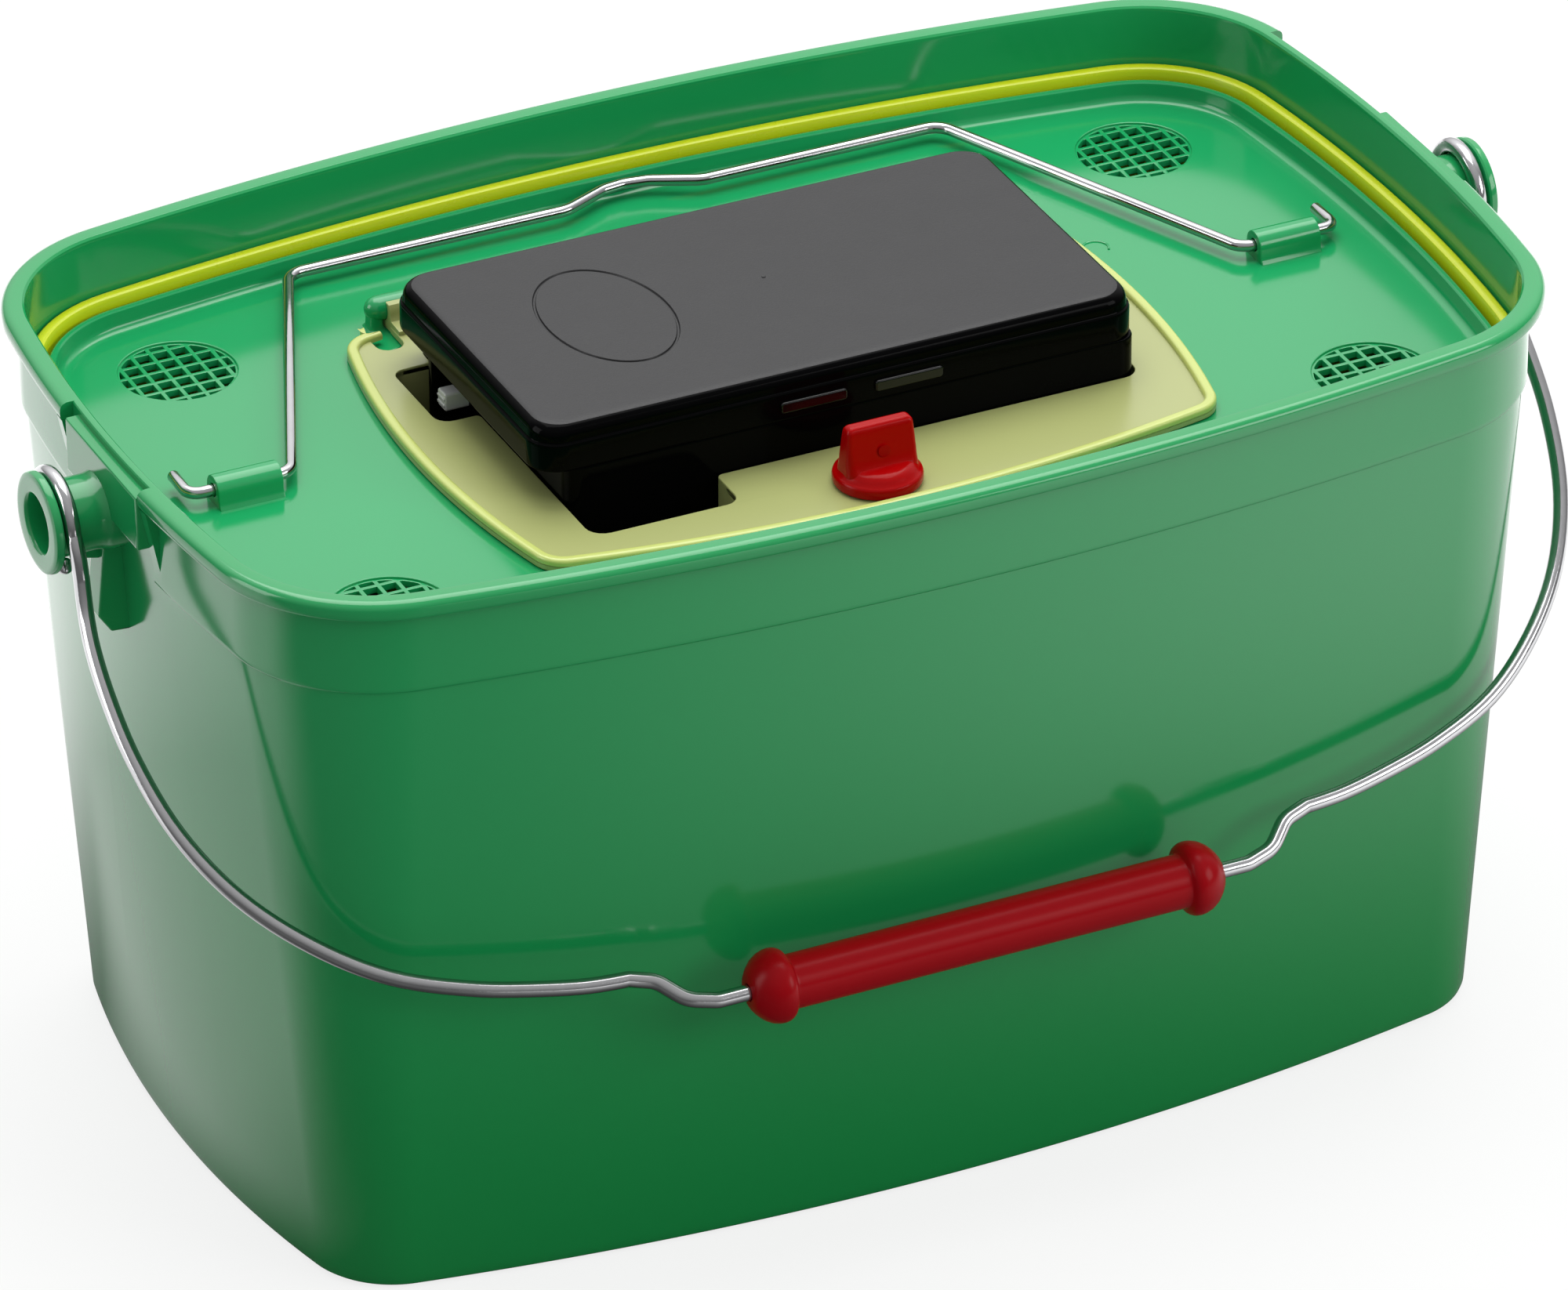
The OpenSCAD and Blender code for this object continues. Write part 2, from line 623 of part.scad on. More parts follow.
// ---------- air pump: motor and drive ----------
module motor() {
    color([0.7, 0.71, 0.73])
    difference() {
        union() {
            // round can with flats above and below
            intersection() {
                rod([motor_x - 26, crank_y, crank_z], 10.1, 26);
                box([motor_x - 27, crank_y - 11, crank_z - 7.7], [28, 22, 15.4]);
            }
            rod([motor_x - 27.5, crank_y, crank_z], 3, 2, 32);
            // terminals
            for (y = [-5, 5]) box([motor_x - 0.5, crank_y + y - 0.8, crank_z - 1], [3.4, 1.6, 0.5]);
        }
        rod([motor_x - 30, crank_y, crank_z], 1.05, 24, 24);
    }
}
module motor_bracket() {
    color([0.3, 0.3, 0.32])
    difference() {
        union() {
            box([bracket_x, crank_y - 12.6, bracket_z],
                [bracket_t, 25.2, crank_z + 9.6 - bracket_z]);
            box([bracket_x, crank_y - 20.4, bracket_z], [bracket_t, 40.8, 2]);
        }
        box([bracket_x - 1, crank_y - 11.2, crank_z - 7.9], [bracket_t + 2, 22.4, 15.8]);
        at_bracket_screws(case_bottom) cylinder(r = 1.7, h = 20, $fn = 20);
    }
}
module bracket_screws() {
    color([0.7, 0.7, 0.72])
    at_bracket_screws(case_bottom) {
        post([0, 0, 10.15], 2.8, 1.8, 24);
        post([0, 0, 2.5], 1.25, 8.5, 20);
    }
}
module crank() { // motor shaft, disc and an eccentric pin
    color([0.8, 0.65, 0.3]) {
        rod([motor_x - 35, crank_y, crank_z], 1, 26, 24);
        rod([motor_x - 35, crank_y, crank_z], 5, 4, 32);
        rod([motor_x - 42.5, crank_y + 2.2, crank_z], 1.2, 8, 24);
    }
}
module rocker_arm() {
    arm_z = case_bottom + 11.2;
    color([0.9, 0.9, 0.88])
    difference() {
        union() {
            box([rocker_x, crank_y - 5.5, crank_z - 5.5], [rocker_t, 11, 11]);
            box([rocker_x, crank_y - 3, arm_z], [rocker_t, 33, 3.4]);
            box([rocker_x, crank_y - 3, arm_z], [rocker_t, 6, crank_z - 5 - arm_z]);
            rod([rocker_x, pivot_y, pivot_z], 3.6, rocker_t, 32);
            post([rocker_mid, crank_y, case_bottom + 9.3], 3, 3, 24);
        }
        // window for the crank pin, and the pivot hole
        box([motor_x - 43, crank_y - 4, crank_z - 3.7], [6, 8, 7.4]);
        rod([motor_x - 43, pivot_y, pivot_z], 1.55, 6, 32);
    }
}
module rocker_pin() {
    color([0.7, 0.71, 0.73]) rod([motor_x - 43.5, pivot_y, pivot_z], 1.5, 7.5, 32);
}

// ---------- air pump: air path ----------
module diaphragm() {
    color([0.12, 0.12, 0.12])
    translate([rocker_mid, crank_y, case_bottom + 6.1]) difference() {
        union() {
            cylinder(r = 10.5, h = 1.6);
            cylinder(r1 = 8.5, r2 = 3.4, h = 3.1);
        }
        translate([0, 0, -0.1]) cylinder(r1 = 7.2, r2 = 2, h = 1.9);
    }
}
module air_head() {
    color([0.85, 0.85, 0.82])
    difference() {
        union() {
            box([rocker_mid - 12, crank_y - 12, head_z], [24, 24, head_h]);
            box([nozzle_x - 3, crank_y + 10, head_z], [6, 13, head_h]);
            at_nozzle(head_z) cylinder(r = 3.6, h = head_h, $fn = 32);
            at_nozzle(case_bottom - 9) cylinder(r = nozzle_r, h = 13, $fn = 32);
        }
        // chamber under the diaphragm, nozzle bore and the passage between them
        post([rocker_mid, crank_y, case_bottom + 4.2], 7, 3);
        at_nozzle(case_bottom - 10) cylinder(r = air_bore_r, h = 14.5, $fn = 24);
        box([nozzle_x, crank_y, case_bottom + 3.6], [10, 20.6, 1.4]);
    }
}
module air_hose() {
    hose_z = 92;
    color([0.75, 0.85, 0.8, 0.7])
    at_nozzle(hose_z) difference() {
        cylinder(r = 3, h = case_bottom - 0.5 - hose_z, $fn = 32);
        post([0, 0, -1], 2.1, 80, 32);
    }
}
module air_stone() {
    // half section: [radius, height]
    profile = [[0, 0], [5.6, 0], [7, 1.4], [7, 19], [5.6, 20.4], [0, 20.4]];
    color([0.35, 0.55, 0.7])
    at_nozzle(70) difference() {
        union() {
            rotate_extrude($fn = 40) polygon(profile);
            post([0, 0, 20], nozzle_r, 9, 32);
        }
        post([0, 0, 6], air_bore_r, 30, 24);
    }
}

// ---------- air pump: switch and wiring ----------
module switch_slider() {
    color([0.85, 0.86, 0.86]) {
        box([case_left + 2.15, 11.5, 171.5], [2, 11, 10.5]);
        box([case_left - 6, 15.4, 174.2], [9, 4.6, 4.7]);
        for (z = [175.4, 177]) box([case_left - 6.5, 15.4, z], [1, 4.6, 0.6]);
    }
}
module switch_contacts() {
    color([0.82, 0.7, 0.4])
    for (y = [8, 17]) box([case_left + 4.3, y, 170], [0.4, 3, 14]);
}
module lead(points, reach) { sweep(round_corners(points, reach, 3), 0.7, 8); }
module wiring() {
    color([0.7, 0.05, 0.05]) {
        // switch to motor
        lead([[case_left + 5.4, 9.5, 171], [case_left + 8, 7.5, 183.6],
            [case_left + 30, -16, 185.4], [motor_x + 1.5, -6, 185],
            [motor_x + 2, crank_y - 5, crank_z + 1]], 6);
        // switch to the back cell
        lead([[case_left + 5.4, 18.5, 171], [case_left + 9, 18, 183.4],
            [case_left + 40, 19.5, 185.4], [bay_left - 4, 20, 185.2],
            [bay_left - 2.6, cell_y(1), 183]], 6);
        // motor to the front cell
        lead([[motor_x + 2, crank_y + 5, crank_z + 1], [motor_x + 5, crank_y + 5, crank_z + 9],
            [bay_left - 4, -18, 184], [bay_left - 2.6, cell_y(-1), 182]], 5);
    }
}

outer_bucket();
bail_wire();
bail_grip();
inner_bucket();
lid_panel();
lid_wire();
hatch_door();
latch_knob();
latch_tongue();
latch_screw();
pump_case();
pump_cover();
battery_cells();
battery_springs();
contact_plates();
motor();
motor_bracket();
bracket_screws();
crank();
rocker_arm();
rocker_pin();
diaphragm();
air_head();
air_hose();
air_stone();
switch_slider();
switch_contacts();
wiring();
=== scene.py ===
"""Oblong green bucket with a strainer inside, a hatched lid, a battery air pump and a wire bail.

The bucket stands on z = 0, centred on the origin, its length along X. The latch knob and the
resting bail lie towards the front (-Y), the hatch hinge towards the back (+Y). Shapes are
written in millimetres and scaled to metres when their meshes are made.
"""
import math
from functools import lru_cache

import bmesh
import bpy
from mathutils import Matrix, Vector
from mathutils.geometry import tessellate_polygon


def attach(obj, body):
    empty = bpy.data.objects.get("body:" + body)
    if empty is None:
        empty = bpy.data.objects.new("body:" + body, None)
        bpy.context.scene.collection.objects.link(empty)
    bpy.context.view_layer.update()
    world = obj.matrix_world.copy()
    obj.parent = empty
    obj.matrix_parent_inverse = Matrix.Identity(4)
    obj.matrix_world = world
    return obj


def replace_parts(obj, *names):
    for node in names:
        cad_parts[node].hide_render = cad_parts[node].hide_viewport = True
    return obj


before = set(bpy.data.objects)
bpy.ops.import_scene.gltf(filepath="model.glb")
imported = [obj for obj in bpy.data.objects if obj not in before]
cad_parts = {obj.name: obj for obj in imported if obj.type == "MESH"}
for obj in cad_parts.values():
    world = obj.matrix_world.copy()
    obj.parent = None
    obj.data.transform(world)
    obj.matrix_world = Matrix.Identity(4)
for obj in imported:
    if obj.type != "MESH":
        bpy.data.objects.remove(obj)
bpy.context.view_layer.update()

MM = 0.001
SCENE = bpy.context.scene
pi = math.pi

# ------------------------------------------------------------------ dimensions (mm)
# Bowed outlines: half length in x, half width in y, corner radius,
# bow of the front and back sides, bow of the left and right sides.
RIM = (177.3, 112.0, 43.0, 18.1, 12.7)
BASE = (163.4, 100.2, 23.6, 18.4, 16.1)
HATCH = (96.0, 70.1, 8.5, 11.5, 10.1)
LID_HOLE = (90.0, 64.1, 3.0, 10.9, 9.5)
HATCH_X, HATCH_Y = -1.3, -6.0       # centre of the hatch and of the lid hole

TUB_H = 197.0
# Tapered walls: z at the foot, z at the top, inset from BASE, inset from RIM.
TUB_WALL = (2.6, TUB_H, 0.0, 3.2)
STRAINER_WALL = (8.0, 178.1, 5.2, 7.8)
EAR_Z = 179.5                       # axis of the bail bosses
BOSS_R = 9.2

LID_Z = 173.8                       # top of the lid panel
LID_WIRE_Z = LID_Z + 3.6
LID_WIRE_R = 1.5
HATCH_TOP = LID_Z + 2.1
HINGE_X, HINGE_Y, HINGE_Z = -2.5, 62.5, 178.9
KNOB_X, KNOB_Y = -2.5, -62.5

# The pump cover and case share their right, front and back faces.
COVER_X0, PUMP_X1 = -81.5, 77.0
CASE_X0 = COVER_X0 + 7.5
PUMP_Y, PUMP_HALF_Y = 0.65, 43.65
PUMP_Y0, PUMP_Y1 = PUMP_Y - PUMP_HALF_Y, PUMP_Y + PUMP_HALF_Y
CASE_Z0, CASE_Z1, COVER_TOP = 153.0, 186.0, 198.0
CELL_WALL_X = PUMP_X1 - 76.5
CELL_DY, CELL_Z = 18.3, CASE_Z0 + 19.2
HOSE_X, HOSE_Y = CASE_X0 + 12, 24

BAIL_REST = math.radians(41.0)      # slope of the resting bail below horizontal
BAIL_WIRE_R = 2.0
BAIL_REACH = 153.5                  # from the boss axis to the grip


# ------------------------------------------------------------------ shader helpers
def feed(tree, socket, value):
    """Link a socket into an input, or set the input to a plain value."""
    if isinstance(value, bpy.types.NodeSocket):
        tree.links.new(value, socket)
    else:
        socket.default_value = value


def node(tree, kind, inputs=None, **settings):
    """Add a node; inputs maps a socket name or index to a value or an output socket."""
    new = tree.nodes.new("ShaderNode" + kind)
    for key, value in settings.items():
        setattr(new, key, value)
    for key, value in (inputs or {}).items():
        feed(tree, new.inputs[key], value)
    return new


def map_range(tree, value, from_min=0.0, from_max=1.0, to_min=0.0, to_max=1.0,
              kind="SMOOTHSTEP"):
    ranged = node(tree, "MapRange", {"From Min": from_min, "From Max": from_max,
                                     "To Min": to_min, "To Max": to_max, "Value": value},
                  interpolation_type=kind)
    return ranged.outputs[0]


def mix_colour(tree, factor, first, second):
    return node(tree, "Mix", {0: factor, 6: first, 7: second}, data_type="RGBA").outputs[2]


def mix_float(tree, factor, first, second):
    return node(tree, "Mix", {0: factor, 2: first, 3: second}, data_type="FLOAT").outputs[0]


def mix_shader(tree, factor, first, second):
    return node(tree, "MixShader", {0: factor, 1: first, 2: second}).outputs[0]


def math_node(tree, operation, first, second):
    return node(tree, "Math", {0: first, 1: second}, operation=operation).outputs[0]


def plastic(name, colour, rough=0.28, rough_vary=0.05, vary=0.05, vary_scale=9.0,
            bump=0.02, bump_scale=900.0, fine=0.0, fine_scale=2600.0, specular=0.5,
            metallic=0.0, ior=1.5, transmission=0.0, subsurface=0.0,
            painted_foot_shade=None, fade_height=185):
    """Principled material with noise in its colour, roughness and surface.

    vary is the relative swing of the colour and rough_vary that of the roughness. bump and fine
    are the strengths of the coarse and the fine relief. painted_foot_shade is painted shade: a
    darker colour at the foot that fades out up to fade_height (mm).
    """
    mat = bpy.data.materials.new(name)
    mat.use_nodes = True
    tree = mat.node_tree
    coords = node(tree, "TexCoord").outputs["Object"]
    mapped = node(tree, "Mapping", {"Vector": coords}).outputs[0]

    def noise(vector, scale, detail):
        inputs = {"Scale": scale, "Detail": detail, "Vector": vector}
        return node(tree, "TexNoise", inputs).outputs["Fac"]

    def relief(height, strength, distance):
        inputs = {"Strength": strength, "Distance": distance, "Height": height}
        return node(tree, "Bump", inputs)

    base = mix_colour(tree, noise(coords, vary_scale, detail=3),
                      (*[c * (1 - vary) for c in colour], 1),
                      (*[c * (1 + vary) for c in colour], 1))
    # painted shade: below fade_height the colour darkens towards the foot, standing in for the shade
    # on the lower walls
    if painted_foot_shade:
        height = node(tree, "SeparateXYZ", {0: coords}).outputs["Z"]
        fade = map_range(tree, height, from_max=fade_height * MM)
        base = mix_colour(tree, fade, (*painted_foot_shade, 1), base)
    roughness = map_range(tree, noise(mapped, vary_scale * 4, detail=4),
                          to_min=rough - rough_vary, to_max=rough + rough_vary, kind="LINEAR")
    surface = relief(noise(mapped, bump_scale, detail=2), bump, distance=0.0004)
    if fine:
        coarse = surface.outputs[0]
        surface = relief(noise(mapped, fine_scale, detail=3), fine, distance=0.0002)
        feed(tree, surface.inputs["Normal"], coarse)

    values = {"Base Color": base, "Roughness": roughness, "Normal": surface.outputs[0],
              "Metallic": metallic, "IOR": ior, "Specular IOR Level": specular,
              "Coat Roughness": 0.08, "Transmission Weight": transmission}
    if subsurface:
        values.update({"Subsurface Weight": subsurface, "Subsurface Radius": (1, 1, 1),
                       "Subsurface Scale": 0.004})
    bsdf = tree.nodes["Principled BSDF"]
    for key, value in values.items():
        feed(tree, bsdf.inputs[key], value)
    return mat


def stone_material():
    """Rough blue stone with darker grains."""
    mat = plastic("air_stone", (0.16, 0.30, 0.44), rough=0.85, vary=0.25, vary_scale=900,
                  bump=0.4, bump_scale=1500, fine=0.9, fine_scale=2200)
    tree = mat.node_tree
    coords = tree.nodes["Texture Coordinate"].outputs["Object"]
    grains = node(tree, "TexVoronoi", {"Scale": 1100, "Vector": coords}).outputs["Distance"]
    base = tree.nodes["Principled BSDF"].inputs["Base Color"]
    grain_colour = (0.06, 0.12, 0.20, 1)
    feed(tree, base, mix_colour(tree, grains, grain_colour, base.links[0].from_socket))
    return mat


# ------------------------------------------------------------------ materials
# the tub's darker colour at its foot is painted shade on its lower walls
GREEN = plastic("green_tub", (0.011, 0.300, 0.086), rough=0.13, rough_vary=0.03, vary=0.04,
                bump=0.015, bump_scale=120, painted_foot_shade=(0.006, 0.235, 0.052))
GREEN_LID = plastic("green_lid", (0.010, 0.315, 0.100), rough=0.15, rough_vary=0.04,
                    bump_scale=60)
STEEL = plastic("drawn_steel", (0.43, 0.43, 0.44), rough=0.13, rough_vary=0.08, vary=0.08,
                vary_scale=160, bump=0.03, bump_scale=700, metallic=1.0)
RED_GRIP = plastic("red_grip", (0.30, 0.0006, 0.004), rough=0.26, rough_vary=0.02,
                   vary_scale=40, bump=0.0, bump_scale=300, specular=0.10)
RED_KNOB = plastic("red_knob", (0.36, 0.0004, 0.001), rough=0.20, rough_vary=0.02,
                   vary_scale=60, bump=0.0, bump_scale=300, specular=0.10)
YELLOW = plastic("yellow_strainer", (0.60, 0.68, 0.008), rough_vary=0.04, vary=0.04,
                 vary_scale=30, bump=0.015, bump_scale=200)
HATCH_PANEL = plastic("hatch_translucent", (0.375, 0.405, 0.155), rough=0.26, rough_vary=0.0,
                      vary_scale=18, bump=0.0, bump_scale=260)
HATCH_EDGE = plastic("hatch_edge", (0.53, 0.60, 0.17), rough=0.22, rough_vary=0.0, vary=0.04,
                     vary_scale=30, bump=0.0, bump_scale=260)
BLACK = plastic("black_gloss", (0.0010, 0.0010, 0.0012), rough=0.10, rough_vary=0.04,
                vary=0.08, vary_scale=30, bump=0.03, bump_scale=150, specular=0.03)
BLACK_CATCH = plastic("black_catch", (0.002, 0.002, 0.002), rough=0.10, rough_vary=0.04,
                      vary=0.08, vary_scale=30, bump_scale=150, specular=0.3)
BLACK_SATIN = plastic("black_satin_top", (0.0105, 0.0105, 0.0115), rough=0.40, vary=0.10,
                      vary_scale=25, bump=0.06, bump_scale=500, fine=0.35, fine_scale=1800,
                      specular=0.27)
WHITE = plastic("white_nylon", (0.72, 0.72, 0.68), rough=0.42, vary=0.04, vary_scale=60,
                subsurface=0.1)
GREY = plastic("grey_switch", (0.60, 0.61, 0.60), rough=0.40, vary_scale=120)
BRASS = plastic("brass", (0.78, 0.56, 0.22), rough=0.26, vary=0.08, vary_scale=120,
                metallic=1.0)
ZINC = plastic("zinc", (0.62, 0.63, 0.65), rough=0.30, rough_vary=0.1, vary=0.08,
               vary_scale=140, metallic=1.0)
RUBBER = plastic("rubber", (0.018, 0.018, 0.018), rough=0.72, vary=0.12, vary_scale=140,
                 fine=0.2)
HOSE = plastic("clear_hose", (0.70, 0.86, 0.80), rough=0.18, vary=0.04, vary_scale=60,
               transmission=0.75, ior=1.42)
WIRE_RED = plastic("wire_insulation", (0.50, 0.02, 0.02), rough=0.45, vary=0.08,
                   vary_scale=200)
CELL = plastic("cell_sleeve", (0.05, 0.13, 0.30), vary=0.06, vary_scale=40)
STONE = stone_material()


# ------------------------------------------------------------------ mesh helpers
def finish_mesh(mesh, sharp=30.0):
    """Weld and orient a mesh, and shade it smooth but for edges above `sharp` degrees."""
    bm = bmesh.new()
    bm.from_mesh(mesh)
    bmesh.ops.remove_doubles(bm, verts=bm.verts, dist=2e-6)
    bmesh.ops.dissolve_degenerate(bm, edges=bm.edges, dist=1e-7)
    loose = [v for v in bm.verts if not v.link_faces]
    bmesh.ops.delete(bm, geom=loose, context="VERTS")
    bmesh.ops.recalc_face_normals(bm, faces=bm.faces)
    for face in bm.faces:
        face.smooth = True
    limit = math.radians(sharp)
    for edge in bm.edges:
        edge.smooth = not (len(edge.link_faces) == 2 and edge.calc_face_angle(0.0) > limit)
    bm.to_mesh(mesh)
    bm.free()
    mesh.update()


class Shape:
    """Collects shells that may touch or overlap, and turns them into one object."""

    def __init__(self):
        self.verts, self.faces, self.slots = [], [], []

    def add(self, verts, faces, slot=0):
        start = len(self.verts)
        self.verts += [tuple(p) for p in verts]
        self.faces += [tuple(i + start for i in face) for face in faces]
        self.slots += [slot] * len(faces)

    def mesh(self, name, mats, sharp=30.0):
        mesh = bpy.data.meshes.new(name)
        mesh.from_pydata([(x * MM, y * MM, z * MM) for x, y, z in self.verts], [], self.faces)
        for mat in mats:
            mesh.materials.append(mat)
        for polygon, slot in zip(mesh.polygons, self.slots):
            polygon.material_index = slot
        finish_mesh(mesh, sharp)
        return mesh

    def build(self, name, mats, body, sharp=30.0, weighted=True):
        """Link the object; weighted adds normals weighted by face area."""
        ob = bpy.data.objects.new(name, self.mesh(name, mats, sharp))
        SCENE.collection.objects.link(ob)
        if weighted:
            normals = ob.modifiers.new("wn", "WEIGHTED_NORMAL")
            normals.keep_sharp = True
            normals.weight = 80
        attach(ob, body)
        return ob


def loft(rings, cap_start=True, cap_end=True, closed=False):
    """Skin rings of equal count; closed joins the last ring to the first."""
    n, m = len(rings[0]), len(rings)
    verts = [p for ring in rings for p in ring]
    faces = []
    for j in range(m if closed else m - 1):
        a, b = j * n, ((j + 1) % m) * n
        for i in range(n):
            k = (i + 1) % n
            faces.append((a + i, a + k, b + k, b + i))
    if cap_start and not closed:
        faces.append(tuple(range(n - 1, -1, -1)))
    if cap_end and not closed:
        faces.append(tuple((m - 1) * n + i for i in range(n)))
    return verts, faces


def lathe(profile, axis, centre, sides=48, closed=False):
    """Turn a profile of (radius, distance along the axis from centre)."""
    cx, cy, cz = centre
    rings = []
    for radius, along in profile:
        ring = []
        for i in range(sides):
            angle = 2 * pi * i / sides
            u, w = radius * math.cos(angle), radius * math.sin(angle)
            ring.append({"x": (cx + along, cy + u, cz + w),
                         "y": (cx + w, cy + along, cz + u),
                         "z": (cx + u, cy + w, cz + along)}[axis])
        rings.append(ring)
    return loft(rings, closed=closed)


def tube(path, radius, sides):
    """Round bar along a path, with its two ends softened."""
    soft = 0.35     # share of the radius taken up by the rounding of an end
    points = [Vector(p) for p in path]
    last = len(points) - 1
    tangents = [(points[min(i + 1, last)] - points[max(i - 1, 0)]).normalized()
                for i in range(last + 1)]
    across = Vector((0.11, 0.23, 0.97))     # seeds the frame; not parallel to any path
    across = (across - across.dot(tangents[0]) * tangents[0]).normalized()
    rings = []
    for i, (point, tangent) in enumerate(zip(points, tangents)):
        across = (across - across.dot(tangent) * tangent).normalized()
        side = tangent.cross(across)

        def ring(centre, r):
            angles = [2 * pi * j / sides for j in range(sides)]
            return [tuple(centre + r * (math.cos(a) * across + math.sin(a) * side))
                    for a in angles]

        if i in (0, last):
            inward = tangent if i == 0 else -tangent
            end = [ring(point - inward * 0.001, radius * (1 - soft)),
                   ring(point + inward * radius * soft * 0.4, radius * (1 - soft * 0.25)),
                   ring(point + inward * radius * soft, radius)]
            rings += end if i == 0 else end[::-1]
        else:
            rings.append(ring(point, radius))
    return loft(rings)


def corner_arc(before, corner, after, radius):
    """Centre, first spoke, last spoke and radius of a corner's arc; None if nearly straight."""
    a, b = before - corner, after - corner
    length_a, length_b = a.length, b.length
    a.normalize()
    b.normalize()
    angle = a.angle(b)
    if angle > pi - 0.01:
        return None
    cut = min(radius / math.tan(angle / 2), length_a * 0.49, length_b * 0.49)
    radius = cut * math.tan(angle / 2)
    centre = corner + (a + b).normalized() * (radius / math.sin(angle / 2))
    return centre, corner + a * cut - centre, corner + b * cut - centre, radius


def fillet(path, radii, seg):
    """Round the inner corners of an open 3-D polyline; one radius per point."""
    path = [Vector(p) for p in path]
    out = [path[0]]
    for i in range(1, len(path) - 1):
        centre, start, end, _ = corner_arc(path[i - 1], path[i], path[i + 1], radii[i])
        total = start.angle(end)
        axis = start.cross(end).normalized()
        for k in range(seg + 1):
            out.append(centre + Matrix.Rotation(total * k / seg, 3, axis) @ start)
    out.append(path[-1])
    return out


def round_poly(points, radii, seg=5):
    """Closed 2-D polygon with filleted corners; one radius for all, or a list."""
    if not isinstance(radii, list):
        radii = [radii] * len(points)
    points = [Vector(p) for p in points]
    out = []
    for i, corner in enumerate(points):
        arc = None
        if radii[i] > 0:
            arc = corner_arc(points[i - 1], corner, points[(i + 1) % len(points)], radii[i])
        if arc is None:
            out.append(tuple(corner))
            continue
        centre, start, end, radius = arc
        a0, a1 = math.atan2(start.y, start.x), math.atan2(end.y, end.x)
        while a1 - a0 > pi:
            a1 -= 2 * pi
        while a1 - a0 < -pi:
            a1 += 2 * pi
        for k in range(seg + 1):
            t = a0 + (a1 - a0) * k / seg
            out.append((centre.x + radius * math.cos(t), centre.y + radius * math.sin(t)))
    return out


def round_rect(x0, x1, y0, y1, radius, seg):
    return round_poly([(x0, y0), (x1, y0), (x1, y1), (x0, y1)], radius, seg)


def circle(cx, cy, radius, sides=48):
    return [(cx + radius * math.cos(2 * pi * i / sides), cy + radius * math.sin(2 * pi * i / sides))
            for i in range(sides)]


def arc_points(cx, cy, radius, start, sweep, steps):
    """Points from start through sweep, both in degrees."""
    angles = [math.radians(start + sweep * k / steps) for k in range(steps + 1)]
    return [(cx + radius * math.cos(t), cy + radius * math.sin(t)) for t in angles]


def area(points):
    return 0.5 * sum(points[i - 1][0] * points[i][1] - points[i][0] * points[i - 1][1]
                     for i in range(len(points)))


def dedupe(points, eps=1e-3):
    """Drop repeated neighbours, the closing point among them."""
    def apart(p, q):
        return abs(p[0] - q[0]) > eps or abs(p[1] - q[1]) > eps

    out = []
    for p in points:
        if not out or apart(p, out[-1]):
            out.append(tuple(p))
    if len(out) > 1 and not apart(out[0], out[-1]):
        out.pop()
    return out


def offset(points, distance):
    """Move each vertex to the left of travel."""
    n = len(points)
    out = []
    for i, (x, y) in enumerate(points):
        ax, ay = x - points[i - 1][0], y - points[i - 1][1]
        bx, by = points[(i + 1) % n][0] - x, points[(i + 1) % n][1] - y
        la, lb = math.hypot(ax, ay), math.hypot(bx, by)
        n1, n2 = (-ay / la, ax / la), (-by / lb, bx / lb)
        k = max(1 + n1[0] * n2[0] + n1[1] * n2[1], 0.35)    # limits the reach of sharp corners
        out.append((x + distance * (n1[0] + n2[0]) / k, y + distance * (n1[1] + n2[1]) / k))
    return out


def plate(outer, holes, z0, z1, bevel, seg=3, bottom=None, axis="z"):
    """Flat plate with rounded edges, from z0 to z1 along its axis.

    Loops lie in (x, y) for axis z, in (y, z) for x and in (x, z) for y, where the plate runs
    from y = -z0 to -z1. bottom is the bevel at z0 and follows bevel unless given.
    """
    bottom = bevel if bottom is None else bottom
    loops = [dedupe(loop) for loop in [outer, *holes]]
    loops = [loop if (area(loop) > 0) == (i == 0) else loop[::-1]
             for i, loop in enumerate(loops)]
    turns = [pi / 2 * k / seg for k in range(seg + 1)]
    profile = [(0, z0)]
    if bottom > 0:
        profile = [(bottom * (1 - math.sin(t)), z0 + bottom * (1 - math.cos(t))) for t in turns]
    if bevel > 0:
        profile += [(bevel * (1 - math.cos(t)), z1 - bevel * (1 - math.sin(t))) for t in turns]
    else:
        profile.append((0, z1))
    verts, faces, top, under = [], [], [], []
    for loop in loops:
        n = len(loop)
        base = len(verts)
        for inset, z in profile:
            verts += [(x, y, z) for x, y in (offset(loop, inset) if inset > 1e-6 else loop)]
        for j in range(len(profile) - 1):
            a, b = base + j * n, base + (j + 1) * n
            faces += [(a + i, a + (i + 1) % n, b + (i + 1) % n, b + i) for i in range(n)]
        under.append(list(range(base, base + n)))
        top.append(list(range(base + (len(profile) - 1) * n, base + len(profile) * n)))
    for group, step in ((top, 1), (under, -1)):
        index = [i for loop in group for i in loop]
        for triangle in tessellate_polygon([[Vector(verts[i]) for i in loop] for loop in group]):
            faces.append(tuple(index[i] for i in triangle)[::step])
    if axis == "x":
        verts = [(z, x, y) for x, y, z in verts]
    elif axis == "y":
        verts = [(x, -z, y) for x, y, z in verts]
    return verts, faces


def flat_ring(outer, inner, step=1):
    """Fill between two loops at one height; step -1 turns the faces over."""
    loops = [outer, inner[::-1]]
    triangles = tessellate_polygon([[Vector(p) for p in loop] for loop in loops])
    return loops[0] + loops[1], [tuple(t)[::step] for t in triangles]


